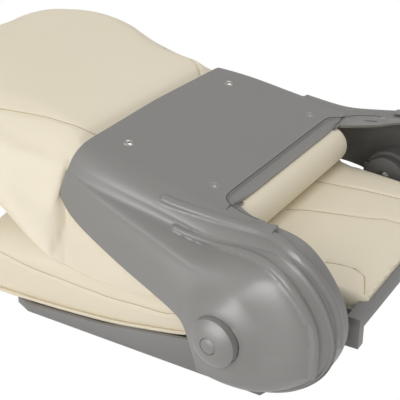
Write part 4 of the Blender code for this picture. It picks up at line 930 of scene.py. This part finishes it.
def sink_opening(bm, path, depth):
    """Step the skin down between the line and the opening between the arms."""
    near = opening_line(path)
    tree = point_tree(near)

    def lift_at(place_now):
        here = folded(place_now)
        if here.z < HINGE.z + OPENING_LOWEST_Z or here.x > near[-1].x + OPENING_END_MARGIN:
            return 0.0
        co, k, distance = tree.find(here)
        if distance > OPENING_REACH:
            return 0.0
        along = (near[min(k + 1, len(near) - 1)] - near[max(k - 1, 0)]).normalized()
        inward = Vector((0.0, 0.0, 1.0)).cross(along)
        signed = math.copysign(distance, (here - co).dot(inward))
        beyond = max(0.0, (here - near[-1]).dot(along)) if k == len(near) - 1 else 0.0
        fade = max(0.0, 1.0 - beyond / OPENING_FADE)
        step = smooth_share(min(max(signed / STEP_WIDTH, 0.0), 1.0))
        crest = max(0.0, 1.0 - ((signed + LIP_CREST_OFFSET) / LIP_CREST_HALF_WIDTH) ** 2)
        return fade * depth * (LIP_CREST_SHARE * crest - step)

    displace(bm, lift_at)


def open_cap_pockets(bm):
    """Open a true circle in each drum for the tilted hinge cap."""
    for side, _tag in SIDES:
        matrix = hinge_matrix(side, CAP_FLOOR_X, CAP_TILT)
        inverse = matrix.inverted()
        local = {v: inverse @ v.co for v in bm.verts if side * v.co.x > HUB_INNER_X}
        inside = {v for v, p in local.items() if p.xy.length < CAP_POCKET_R}
        doomed = [f for f in bm.faces if all(v in inside for v in f.verts)]
        bmesh.ops.delete(bm, geom=doomed, context="FACES")
        for v in inside:
            if v.is_valid and v.link_faces:
                p = local[v]
                stretch = CAP_POCKET_R / p.xy.length
                v.co = matrix @ Vector((p.x * stretch, p.y * stretch, p.z))
        loose = [v for v in bm.verts if not v.link_faces]
        bmesh.ops.delete(bm, geom=loose, context="VERTS")


def build_arm_tabs(tree):
    """The small moulded tab on each arm, beside the end of the opening's lip."""
    centre, normal = tree.ray_cast(CAMERA_PLACE, view_ray(*ARM_TAB_CENTRE_PX))[:2]
    rays = [view_ray(*pixel) for pixel in ARM_TAB_PX]
    corners = [CAMERA_PLACE + ray * ((centre - CAMERA_PLACE).dot(normal) / ray.dot(normal)) for ray in rays]
    for side, tag in SIDES:
        low, high = [[(side * q.x, q.y, q.z) for q in (p + normal * lift for p in corners)]
                     for lift in (ARM_TAB_ROOT, ARM_TAB_HEIGHT)]
        bm, top = prism(low, high)
        rim = [e for e in bm.edges if e.verts[0] in top and e.verts[1] in top]
        bmesh.ops.bevel(bm, geom=rim, offset=ARM_TAB_ROUND, segments=2, affect="EDGES", profile=0.5)
        finish_piece(link_mesh(f"arm_tab_{tag}", bm, "shell_plastic", 30.0), "back", "shell_plastic")


def build_back_shell(props):
    bm = shell_surface(1.0)
    tree = BVHTree.FromBMesh(bm)
    ribs = [relaxed([place(PAN_HALF + out, y, z) for out, y, z in table], tree, 24) for table in (OUTER_RIB, INNER_RIB)]
    for path in ribs:
        split_near(bm, path, props.rib_half_width * RIB_SPLIT_REACH)
    raise_rib(bm, ribs[0], props.rib_height, props.rib_half_width)
    raise_rib(bm, ribs[1], props.rib_height * INNER_RIB_HEIGHT_SHARE, props.rib_half_width * INNER_RIB_WIDTH_SHARE)
    for pixels in DRUM_CREASE_PX:
        crease = relaxed(pixel_path(pixels, tree, LINE_STEP), tree, 8)
        raise_rib(bm, crease, props.crease_height, props.crease_half_width, 0.0)
    lip = relaxed(pixel_path(OPENING_PX, tree, LINE_STEP), tree, 6)
    split_near(bm, opening_line(lip), OPENING_SPLIT_REACH)
    sink_opening(bm, lip, props.step_depth)
    grooved = BVHTree.FromBMesh(bm)
    open_cap_pockets(bm)
    shell = link_mesh("shell_moulding", bm, "shell_plastic", 60.0)
    wall = shell.modifiers.new("wall", "SOLIDIFY")
    wall.thickness = SHELL_WALL
    wall.offset = -1.0
    applied(shell)
    smooth_shade(shell.data, 50.0)
    finish_piece(shell, "back", "shell_plastic", "back_shell")
    build_arm_tabs(grooved)
    # A thin dark cord in the groove round the opening: painted shade.
    half = dropped([p + Vector((0.0, 0.0, GROOVE_LIFT)) for p in opening_line(lip)[::4]], grooved)
    groove = follow_cord("opening_groove", [mirrored(half[:0:-1]) + half], "groove_painted_shade", props.groove_radius)
    finish_piece(groove, "back", "shell_plastic")
    outer_x = HUB_OUTER_X - 0.006
    profile = ((BORE_R, HUB_INNER_X), (HUB_R - 0.001, HUB_INNER_X), (HUB_R, HUB_INNER_X + 0.001), (HUB_R, outer_x),
               (BORE_R, outer_x))
    for side, tag in SIDES:
        hub = turned(f"hub_boss_{tag}", profile, hinge_matrix(side), "shell_plastic")
        finish_piece(hub, "back", "shell_plastic")


# ---------------------------------------------------------------- upholstery

def sink_seam(obj, path, depth, half_width, mirror=True):
    """Draw the cover in along a seam."""
    fold = folded if mirror else Vector
    tree = point_tree([fold(p) for p in path])

    def lift_at(co):
        distance = tree.find(fold(co))[2]
        return -depth * (1.0 - distance / half_width) ** 2 if distance < half_width else 0.0

    bm = bmesh.new()
    bm.from_mesh(obj.data)
    displace(bm, lift_at)
    bm.to_mesh(obj.data)
    bm.free()


def front_face(y, seam, pad_thick):
    """Wing and front padding of a back section, from the seam to the middle."""
    seam_x, seam_y, seam_z = seam
    face_z = panel_z(y) - pad_thick
    inner_x = WING_THICK_SHARE * seam_x
    depth = face_z - seam_z
    points = [seam]
    for out, down in zip(FACE_SHARES_OUT, FACE_SHARES_DOWN):
        points.append((out * seam_x, seam_y + (y - seam_y) * (1.0 - down) * 0.5, face_z - depth * down))
    points += [(inner_x * share, y, face_z) for share in FACE_CORNER_SHARES]
    return points + [(inner_x * share, y, face_z - PAD_CROWN * (1.0 - share ** 2)) for share in FACE_CROWN_SHARES]


def upper_section(y, half_out, flat_out, crown, seam_depth, thick):
    """Half section of the back above the shell."""
    half = PAN_HALF + half_out
    flat = max(PAN_HALF + flat_out, 0.006)
    top = panel_z(y) + crown
    points = [(flat * share, y, top) for share in CUSHION_PANEL_SHARES] + [(flat, y, top - 0.0004)]
    blend = min(max((FLARED_FROM_Y - y) / (FLARED_FROM_Y - ROUNDED_FROM_Y), 0.0), 1.0)
    for step, (out_share, drop_share) in enumerate(FLARED_SIDE_SHARES, 1):
        turn = 0.5 * math.pi * step / (len(FLARED_SIDE_SHARES) + 1)
        round_x = flat + (half - flat) * math.sin(turn)
        round_drop = (seam_depth + crown) * (1.0 - math.cos(turn))
        x = half * out_share + (round_x - half * out_share) * blend
        drop = (seam_depth + crown) * drop_share
        points.append((x, y, top - drop - (round_drop - drop) * blend))
    return points + front_face(y, (half, y, panel_z(y) - seam_depth), thick)


def shelled_section(index):
    """Half section of the back inside the shell, moved in by its wall."""
    top_y, top_z, flat_x, shoulder_x, *edge = SHELL_STATIONS[index]
    length = math.hypot(edge[1] - top_y, edge[2] - top_z)
    columns = [Vector(p) for p in side_columns((top_y, top_z), flat_x, shoulder_x, edge, length, CORNER_DROP)]
    depth = SHELL_WALL + (PAD_GAP if index else PAD_MOUTH_GAP)
    points = [(flat_x * share, top_y, panel_z(top_y) - PAD_TOP) for share in CUSHION_PANEL_SHARES]
    points.append((flat_x, top_y, panel_z(top_y) - PAD_TOP))
    for k in range(1, len(columns)):
        forward = columns[min(k + 1, len(columns) - 1)] - columns[k - 1]
        outward = Vector((-forward.z, 0.0, forward.x)).normalized()
        points.append(tuple(columns[k] - outward * math.copysign(depth, outward.x)))
    seam_out, seam_y, seam_z = WING_SEAM[index]
    seam = (PAN_HALF + seam_out, seam_y, seam_z)
    last = Vector(points[-1])
    for share in FLARE_SHARES:
        between = last.lerp(Vector(seam), share)
        points.append((last.x + (seam[0] - last.x) * share ** FLARE_POWER, between.y, between.z))
    return points + front_face(top_y, seam, PAD_THICK)


def seat_section(y, side_out, plateau_out, top_z, seam_z, low_z):
    """Half section of the seat cushion, from the middle of its top to the middle of its base."""
    half = PAN_HALF + side_out
    plateau = PAN_HALF + plateau_out
    front_y, rear_y = SEAT_LIFT_ENDS
    lift_share = min(1.0, (y - front_y) / SEAT_LIFT_LENGTH, (rear_y - y) / SEAT_LIFT_LENGTH)
    crown = zip(SEAT_CROWN_SHARES, SEAT_CROWN_LIFTS)
    points = [(plateau * share, y, top_z + lift * lift_share) for share, lift in crown]
    for step in range(1, SEAT_SHOULDER_STEPS + 1):
        turn = 0.5 * math.pi * step / SEAT_SHOULDER_STEPS
        points.append((plateau + (half - plateau) * math.sin(turn), y, seam_z + (top_z - seam_z) * math.cos(turn)))
    points += [(half, y, 0.5 * (seam_z + low_z)), (half - 0.002, y, low_z)]
    return points + [(half * share, y, low_z) for share in SEAT_BASE_SHARES]


def covered(name, sections, per_row, per_column, rounds):
    """Closed cover through half sections, mirrored to the far side and capped at both ends."""
    grid = np.array(sections)
    grid = refine(grid, [per_row] * (len(grid) - 1), [per_column] * (grid.shape[1] - 1))
    grid = even_rows(grid, rounds)
    grid[:, (0, -1), 0] = 0.0
    bm = bmesh.new()
    loops = []
    for row in grid:
        near = [bm.verts.new(place(*p)) for p in row]
        loops.append(near + [bm.verts.new(place(-p[0], p[1], p[2])) for p in row[-2:0:-1]])
    for low, high in zip(loops, loops[1:]):
        close_rings(bm, low, high)
    for ring in (loops[0], loops[-1]):
        bmesh.ops.triangulate(bm, faces=[bm.faces.new(ring)])
    bmesh.ops.recalc_face_normals(bm, faces=bm.faces)
    return link_mesh(name, bm, "cream_vinyl")


def stuffed(obj, pressure, cap):
    """Swell the cover a little as cloth over its foam, and smooth it."""
    swell(obj, pressure, cap)
    fine = obj.modifiers.new("fine", "SUBSURF")
    fine.levels = 1
    fine.render_levels = 1
    applied(obj)
    obj.data.shade_smooth()
    return obj


def swell(obj, pressure, cap):
    """Run the cover as cloth under pressure, and hold each point within its cap."""
    before = [v.co.copy() for v in obj.data.vertices]
    cloth = obj.modifiers.new("cloth", "CLOTH")
    cloth.settings.use_pressure = True
    cloth.settings.uniform_pressure_force = pressure
    cloth.settings.quality = CLOTH_QUALITY
    cloth.settings.mass = CLOTH_MASS
    cloth.settings.tension_stiffness = CLOTH_STIFFNESS
    cloth.settings.compression_stiffness = CLOTH_STIFFNESS
    cloth.settings.effector_weights.gravity = 0.0
    cloth.point_cache.frame_start = 1
    cloth.point_cache.frame_end = CLOTH_FRAMES
    scene = bpy.context.scene
    for number in range(1, CLOTH_FRAMES + 1):
        scene.frame_set(number)
    applied(obj)
    scene.frame_set(1)
    for v, old in zip(obj.data.vertices, before):
        limit = cap(old)
        move = v.co - old
        if move.length > limit:
            v.co = old + move.normalized() * limit


def back_cap(point):
    """How far the back's cover may move: hardly at all inside the shell."""
    local = point - HINGE
    if local.y > SHELLED_FROM_Y and local.z > panel_z(local.y) - PANEL_COVER_DEPTH:
        return SHELLED_COVER_MOVE
    return WING_COVER_MOVE if local.y > SHELLED_FROM_Y and abs(local.x) > WING_FROM_X else FREE_COVER_MOVE


def seat_cap(point):
    """How far the seat's cover may move: hardly at all where the back's roll sweeps past."""
    local = point - HINGE
    if local.y > SEAT_REAR_FROM_Y:
        return SEAT_REAR_MOVE
    return SEAT_TOP_MOVE if local.z > SEAT_TOP_FROM_Z else SEAT_SIDE_MOVE


def wing_edges():
    """The lower edge of the back's wings, where the welt is sewn in, near and far."""
    seam = [place(PAN_HALF + out, y, panel_z(y) - depth) for y, out, _flat, _crown, depth, _thick in UPPER_STATIONS]
    near = smooth_line(seam + [place(PAN_HALF + out, y, z) for out, y, z in WING_SEAM], LINE_STEP)
    return [near, mirrored(near)]


def welt_line():
    """Round the front and both sides of the seat cushion's lower edge."""
    rows = SEAT_STATIONS[1:1 + PIPING_STATIONS]
    side = [place(PAN_HALF + out, y, low_z) for y, out, _plateau, _top, _seam, low_z in rows]
    y0, out0, _plateau, _top, _seam, low0 = SEAT_STATIONS[0]
    near = [place(0.0, y0, low0 - 0.001), place(0.7 * (PAN_HALF + out0), y0, low0 - 0.001),
            place(PAN_HALF + out0 - 0.006, y0 + 0.001, low0)] + side
    return smooth_line(mirrored(near[:0:-1]) + near, LINE_STEP)


def roll_profile():
    """The roll under the back from end to end, with rounded ends."""
    ends = [(share * ROLL_R, inset * ROLL_R - ROLL_X) for share, inset in ROLL_END_SHARES]
    return ends + [(ROLL_R, x) for x in ROLL_BODY_X] + [(radius, -x) for radius, x in reversed(ends)]


def build_back_cushion(props):
    sections = [upper_section(*station) for station in UPPER_STATIONS]
    sections += [shelled_section(index) for index in range(len(WING_SEAM))]
    cushion = covered("back_upholstery", sections, 5, 3, 24)
    stuffed(cushion, props.stuffing, back_cap)
    seam = pixel_path(BACK_SEAM_PX, object_tree(cushion))
    sink_seam(cushion, seam, props.seam_depth, SEAM_HALF_WIDTH)
    finish_piece(cushion, "back", "cream_vinyl", "back_cushion")
    matrix = Matrix.Translation(place(0.0, ROLL_Y, ROLL_Z)) @ Matrix.Rotation(math.pi / 2.0, 4, "Y")
    finish_piece(turned("back_roll", roll_profile(), matrix, "cream_vinyl", 96, 60.0), "back", "cream_vinyl")
    tree = object_tree(cushion)
    seam = pixel_path(BACK_SEAM_PX, tree, LINE_STEP)
    # The seam lines are painted shade: thin cords of darker vinyl along the seams.
    lines = follow_cord("back_seam_lines", [seam, mirrored(seam)], "seam_shadow", props.line_radius)
    finish_piece(lines, "back", "cream_vinyl")
    edges = [dropped(path, tree) for path in wing_edges()]
    finish_piece(follow_cord("wing_welts", edges, "cream_vinyl", props.welt_radius * 0.6), "back", "cream_vinyl")


def build_seat_cushion(props):
    cushion = covered("seat_upholstery", [seat_section(*station) for station in SEAT_STATIONS], 5, 4, 12)
    stuffed(cushion, props.stuffing, seat_cap)
    tree = object_tree(cushion)

    def seen_line(pixels, rounds):
        return relaxed(pixel_path(pixels, tree, LINE_STEP), tree, rounds, LINE_STEP)

    tops = [seen_line(pixels, 6) for pixels in SEAT_SEAM_PX]
    side = seen_line(SEAT_SIDE_SEAM_PX, 8)
    stitched = [seen_line(pixels, 8) for pixels in (SEAT_TOP_STITCH_PX, SEAT_REAR_STITCH_PX)]
    for path in tops:
        sink_seam(cushion, smooth_line(path, SEAM_STEP), props.seam_depth, SEAM_HALF_WIDTH, mirror=False)
    sink_seam(cushion, smooth_line(side, SEAM_STEP), props.seam_depth * 0.6, SEAM_HALF_WIDTH * 0.75)
    finish_piece(cushion, "base", "cream_vinyl", "seat_cushion")
    tree = object_tree(cushion)
    # The seam lines are painted shade: thin cords of darker vinyl along the seams on top and down the sides.
    lines = [dropped(path, tree) for path in tops + [side, mirrored(side)]]
    finish_piece(follow_cord("seat_seam_lines", lines, "seam_shadow", props.line_radius), "base", "cream_vinyl")
    stitch = stitch_shape(props)
    runs = [dropped(path, tree) for path in stitched + [mirrored(stitched[0])]]
    inputs = {"Pitch": props.stitch_pitch, "Stitch": stitch}
    finish_piece(follow("seat_topstitch", runs, stitches_on_path(), "thread", inputs, tree), "base", "cream_vinyl")
    bpy.data.objects.remove(stitch)


def stitch_shape(props):
    """One stitch: a short, slightly flattened thread."""
    bm = bmesh.new()
    bmesh.ops.create_uvsphere(bm, u_segments=10, v_segments=6, radius=0.5)
    bmesh.ops.scale(bm, vec=(props.stitch_length, *STITCH_SECTION), verts=bm.verts)
    stitch = link_mesh("stitch", bm, "thread")
    stitch.hide_render = True
    return stitch


def build_piping(props):
    piping = follow_cord("welt_cord", [welt_line()], "cream_vinyl", props.welt_radius)
    finish_piece(piping, "base", "cream_vinyl", "seat_piping")


# ---------------------------------------------------------------- pan and fittings

def raise_tail(pan):
    """Slope the underside of the pan's tail up to the rear bar, as the photograph shows it."""
    below, behind = 2.0 * PAN_BOTTOM, TAIL_CUT_Y
    outline = ((TAIL_START_Y, below), (TAIL_START_Y, PAN_BOTTOM), (TAIL_END_Y, TAIL_END_Z), (behind, TAIL_END_Z),
               (behind, below))
    bm, _top = prism(*[[place(x, y, z) for y, z in outline] for x in (-PAN_HALF, PAN_HALF)])
    subtract(pan, link_mesh("tail_cut", bm, "pan_plastic"))


def build_pan(props):
    pan = copy_node("seat_pan", "pan_moulding")
    pan.data.materials.clear()
    pan.data.materials.append(MATS["pan_plastic"])
    raise_tail(pan)
    edge = pan.modifiers.new("edge", "BEVEL")
    edge.width = props.pan_edge
    edge.segments = 2
    edge.limit_method = "ANGLE"
    edge.angle_limit = math.radians(40.0)
    edge.harden_normals = False
    applied(pan)
    smooth_shade(pan.data, 35.0)
    finish_piece(pan, "base", "pan_plastic", "seat_pan")


def cap_profile():
    """The domed hinge cap, and the height of its top beside the plug."""
    profile = [(0.0, CAP_BASE), (CAP_R - CAP_CHAMFER, CAP_BASE), (CAP_R, CAP_BASE + CAP_CHAMFER)]
    for k in range(CAP_STEPS + 1):
        radius = CAP_R + (PLUG_POCKET_R - CAP_R) * k / CAP_STEPS
        dome = (CAP_CROWN + CAP_SHOULDER) * (1.0 - (radius / CAP_R) ** CAP_DOME_POWER) * CAP_DOME_SHARE
        top = CAP_RIM_HEIGHT - CAP_SHOULDER + dome
        profile.append((radius, top))
    seat_r, seat = PLUG_POCKET_R - PLUG_SEAT_INSET, top - PLUG_SEAT_DEPTH
    return profile + [(seat_r, top - PLUG_SEAT_EDGE), (seat_r, seat), (0.0, seat)], top


def build_caps(props):
    profile, top = cap_profile()
    foot = top - PLUG_SEAT_DEPTH + PLUG_SEAT_GAP
    plug_profile = ((0.0, foot), (PLUG_R, foot), (PLUG_R, top - PLUG_ROUND), (PLUG_R - PLUG_ROUND, top),
                    (0.0, top + PLUG_CROWN))
    for side, tag in SIDES:
        matrix = hinge_matrix(side, CAP_FLOOR_X, CAP_TILT)
        cap = turned(f"cap_disc_{tag}", profile, matrix, "shell_plastic", CAP_SEGMENTS, 40.0)
        finish_piece(cap, "back", "shell_plastic", f"hinge_cap_{tag}")
        plug = turned(f"cap_button_{tag}", plug_profile, matrix, "shell_plastic", 96, 40.0)
        finish_piece(plug, "back", "shell_plastic", f"cap_plug_{tag}")


def pan_head(profile, slot_name, recess):
    """A turned head with its axis along Z, with a cross recess where one is asked for."""
    head = turned("head", profile, Matrix.Identity(4), slot_name, 48, 35.0)
    for turn in (0.0, math.pi / 2.0) if recess else ():
        bm = bmesh.new()
        size = Matrix.Diagonal((*RECESS_SIZE, 1.0))
        bmesh.ops.create_cube(bm, size=1.0, matrix=Matrix.Rotation(turn + RECESS_TURN, 4, "Z") @ size)
        bmesh.ops.translate(bm, verts=bm.verts, vec=(0.0, 0.0, profile[-1][1]))
        bar = bpy.data.meshes.new("recess")
        bm.to_mesh(bar)
        bm.free()
        subtract(head, new_object("recess", bar))
    return head


def build_cushion_fasteners(props):
    """Cup washers and cross-recessed screws that hold the back's cushion."""
    points = [place(side * x, y, panel_z(y)) for side, _tag in SIDES for x, y in CUSHION_SCREWS]
    names = [f"{tag}_{where}" for _side, tag in SIDES for where in ("front", "rear")]
    normal = Vector((0.0, PANEL_SLOPE, 1.0)).normalized()
    kinds = (("cup_washer", CUP_WASHER, "stainless_steel", False), ("cushion_screw", SCREW_HEAD, "bright_steel", True))
    for node_name, profile, slot_name, recess in kinds:
        head = pan_head(profile, slot_name, recess)
        made = follow(f"{node_name}_heads", [points], fitting_on_points(), slot_name, {"Fitting": head},
                      facing=normal, joined=False)
        bpy.data.objects.remove(head)
        finish_piece(made, "back", slot_name, *[f"{node_name}_{name}" for name in names])


def dress_plain_nodes(props):
    """Metal, board and nylon pieces keep their solids and take their finish."""
    slots = {entry["node"]: entry["material_slot"] for entry in frame["record"]["subparts"]}
    for name, obj in frame["nodes"].items():
        slot_name = slots[name]
        if not obj.material_slots:
            obj.data.materials.append(MATS[slot_name])
        for slot in obj.material_slots:
            slot.material = MATS[slot_name]


# ---------------------------------------------------------------- studio

def build_camera(scene):
    data = bpy.data.cameras.new("camera")
    data.lens = LENS_MM
    data.sensor_width = SENSOR_MM
    data.sensor_fit = "HORIZONTAL"
    data.clip_start = 0.01
    camera = new_object("camera", data)
    rotation = Matrix((CAMERA_RIGHT, CAMERA_UP, -CAMERA_LOOK)).transposed()
    camera.matrix_world = Matrix.Translation(CAMERA_PLACE) @ rotation.to_4x4()
    scene.camera = camera


def build_floor():
    """A matt floor that takes the shadow for the scene but is plain white paper to the eye and in reflections."""
    floor = bpy.data.meshes.new("floor")
    level = CAD_BOX[0][2] - FLOOR_GAP
    corners = ((-1, -1), (1, -1), (1, 1), (-1, 1))
    floor.from_pydata([(FLOOR_SIZE * x, FLOOR_SIZE * y, level) for x, y in corners], [], [(0, 1, 2, 3)])
    mat, tree, shader = surface_material("floor_paper", "#FFFFFF", 0.9)
    path = node(tree, "ShaderNodeLightPath").outputs
    glow = node(tree, "ShaderNodeEmission", Color=(1.0, 1.0, 1.0, 1.0), Strength=1.0)
    seen = node(tree, "ShaderNodeMath", [(0, path["Is Camera Ray"]), (1, path["Is Glossy Ray"])], operation="MAXIMUM")
    mix = node(tree, "ShaderNodeMixShader",
               [(0, seen.outputs["Value"]), (1, shader.outputs["BSDF"]), (2, glow.outputs["Emission"])])
    tree.links.new(mix.outputs["Shader"], tree.nodes["Material Output"].inputs["Surface"])
    floor.materials.append(mat)
    new_object("floor", floor)


def build_world(scene, ambient):
    """Even white light, and plain white where the camera looks past the seat."""
    world = bpy.data.worlds.new("studio")
    world.use_nodes = True
    scene.world = world
    background = world.node_tree.nodes["Background"]
    background.inputs["Color"].default_value = (1.0, 1.0, 1.0, 1.0)
    rays = node(world.node_tree, "ShaderNodeLightPath")
    level = node(world.node_tree, "ShaderNodeMapRange", [("Value", rays.outputs["Is Camera Ray"])],
                 To_Min=ambient, To_Max=1.0)
    world.node_tree.links.new(level.outputs["Result"], background.inputs["Strength"])


def build_stage(props):
    scene = bpy.context.scene
    scene.view_settings.view_transform = "Standard"
    build_camera(scene)
    build_floor()
    build_world(scene, props.ambient)
    powers = (props.front_light, props.side_light, props.sheen_light, props.top_light)
    for (name, offset, size, diffuse), power_now in zip(SOFTBOXES, powers):
        lamp = add_softbox(name, HINGE + Vector(offset), size, power_now)
        lamp.visible_diffuse = diffuse


def add_softbox(name, location, size, watts):
    light = bpy.data.lights.new(name, "AREA")
    light.shape = "SQUARE"
    light.size = size
    light.energy = watts
    lamp = new_object(name, light)
    lamp.location = location
    lamp.rotation_euler = (HINGE - location).to_track_quat("-Z", "Y").to_euler()
    return lamp


# ---------------------------------------------------------------- add-on

def length(name, description, default, minimum=0.0):
    return bpy.props.FloatProperty(name=name, description=description, default=default, min=minimum, unit="LENGTH")


def power(name, description, default):
    return bpy.props.FloatProperty(name=name, description=description, default=default, min=0.0, unit="POWER")


class BoatSeatShellSettings(bpy.types.PropertyGroup):
    rib_height: length("Rib height", "Height of the corner ribs", 0.0050)
    rib_half_width: length("Rib half width", "Half the width of the corner ribs", 0.0065)
    crease_height: length("Crease height", "Height of the low creases on the drum", 0.0006)
    crease_half_width: length("Crease half width", "Half the width of a crease", 0.0030)
    step_depth: length("Opening step", "Depth of the step round the opening", 0.0018)
    # The groove's dark line is a thin cord: painted shade.
    groove_radius: length("Groove radius", "Radius of the groove round the opening", 0.0005)
    pan_edge: length("Pan edge round", "Edge radius of the pan moulding", 0.0008)


class BoatSeatUpholsterySettings(bpy.types.PropertyGroup):
    stuffing: bpy.props.FloatProperty(name="Stuffing", description="Pressure that swells the cushions", default=4.0,
                                      min=0.0)
    seam_depth: length("Seam depth", "How far a seam draws the cover in", 0.0022)
    # The seam line is a thin cord of darker vinyl that paints the shade in a seam.
    line_radius: length("Seam line", "Radius of the fold that shows in a seam", 0.00045)
    welt_radius: length("Welt radius", "Radius of the cord round the seat", 0.0024)
    stitch_pitch: length("Stitch pitch", "Distance from stitch to stitch", 0.0046, 0.001)
    stitch_length: length("Stitch length", "Length of one stitch", 0.0034)


class BoatSeatStageSettings(bpy.types.PropertyGroup):
    ambient: bpy.props.FloatProperty(name="Ambient", description="Strength of the studio's even light", default=0.50,
                                     min=0.0)
    front_light: power("Front light", "Power of the front softbox", 5.0)
    side_light: power("Side light", "Power of the side softbox", 11.0)
    sheen_light: power("Sheen light", "Power of the softbox seen only in reflections", 36.0)
    top_light: power("Top light", "Power of the top softbox", 11.0)


class BOATSEAT_OT_fittings(bpy.types.Operator):
    """Give every plain solid its real finish"""
    bl_idname = "boatseat.fittings"
    bl_label = "Fittings"

    def execute(self, context):
        make_materials()
        dress_plain_nodes(context.scene.boatseat_shell)
        return {"FINISHED"}


class BOATSEAT_OT_shell(bpy.types.Operator):
    """Build the moulded back shell with its ribs"""
    bl_idname = "boatseat.shell"
    bl_label = "Back Shell"

    def execute(self, context):
        build_back_shell(context.scene.boatseat_shell)
        return {"FINISHED"}


class BOATSEAT_OT_caps(bpy.types.Operator):
    """Build the hinge caps with their plugs and the screws of the back"""
    bl_idname = "boatseat.caps"
    bl_label = "Hinge Caps"

    def execute(self, context):
        build_caps(context.scene.boatseat_shell)
        build_cushion_fasteners(context.scene.boatseat_shell)
        return {"FINISHED"}


class BOATSEAT_OT_pan(bpy.types.Operator):
    """Build the seat pan moulding"""
    bl_idname = "boatseat.pan"
    bl_label = "Seat Pan"

    def execute(self, context):
        build_pan(context.scene.boatseat_shell)
        return {"FINISHED"}


class BOATSEAT_OT_back_cushion(bpy.types.Operator):
    """Build the upholstery of the back"""
    bl_idname = "boatseat.back_cushion"
    bl_label = "Back Cushion"

    def execute(self, context):
        build_back_cushion(context.scene.boatseat_upholstery)
        return {"FINISHED"}


class BOATSEAT_OT_seat_cushion(bpy.types.Operator):
    """Build the seat's upholstery and its piping"""
    bl_idname = "boatseat.seat_cushion"
    bl_label = "Seat Cushion"

    def execute(self, context):
        build_seat_cushion(context.scene.boatseat_upholstery)
        build_piping(context.scene.boatseat_upholstery)
        return {"FINISHED"}


class BOATSEAT_OT_stage(bpy.types.Operator):
    """Set the camera, floor and lights"""
    bl_idname = "boatseat.stage"
    bl_label = "Studio"

    def execute(self, context):
        build_stage(context.scene.boatseat_stage)
        return {"FINISHED"}


OPERATORS = (BOATSEAT_OT_fittings, BOATSEAT_OT_shell, BOATSEAT_OT_caps, BOATSEAT_OT_pan, BOATSEAT_OT_back_cushion,
             BOATSEAT_OT_seat_cushion, BOATSEAT_OT_stage)


class BOATSEAT_PT_panel(bpy.types.Panel):
    """Lists the builders of the boat seat"""
    bl_label = "Boat Seat"
    bl_idname = "BOATSEAT_PT_panel"
    bl_space_type = "VIEW_3D"
    bl_region_type = "UI"
    bl_category = "Boat Seat"

    def draw(self, context):
        for operator in OPERATORS:
            self.layout.operator(operator.bl_idname)


CLASSES = (BoatSeatShellSettings, BoatSeatUpholsterySettings, BoatSeatStageSettings) + OPERATORS + (BOATSEAT_PT_panel,)


def register():
    for cls in CLASSES:
        bpy.utils.register_class(cls)
    bpy.types.Scene.boatseat_shell = bpy.props.PointerProperty(type=BoatSeatShellSettings)
    bpy.types.Scene.boatseat_upholstery = bpy.props.PointerProperty(type=BoatSeatUpholsterySettings)
    bpy.types.Scene.boatseat_stage = bpy.props.PointerProperty(type=BoatSeatStageSettings)


def unregister():
    del bpy.types.Scene.boatseat_stage
    del bpy.types.Scene.boatseat_upholstery
    del bpy.types.Scene.boatseat_shell
    for cls in reversed(CLASSES):
        bpy.utils.unregister_class(cls)


def main():
    register()
    bpy.ops.boatseat.fittings()
    bpy.ops.boatseat.shell()
    bpy.ops.boatseat.caps()
    bpy.ops.boatseat.pan()
    bpy.ops.boatseat.back_cushion()
    bpy.ops.boatseat.seat_cushion()
    bpy.ops.boatseat.stage()


if __name__ == "__main__":
    main()
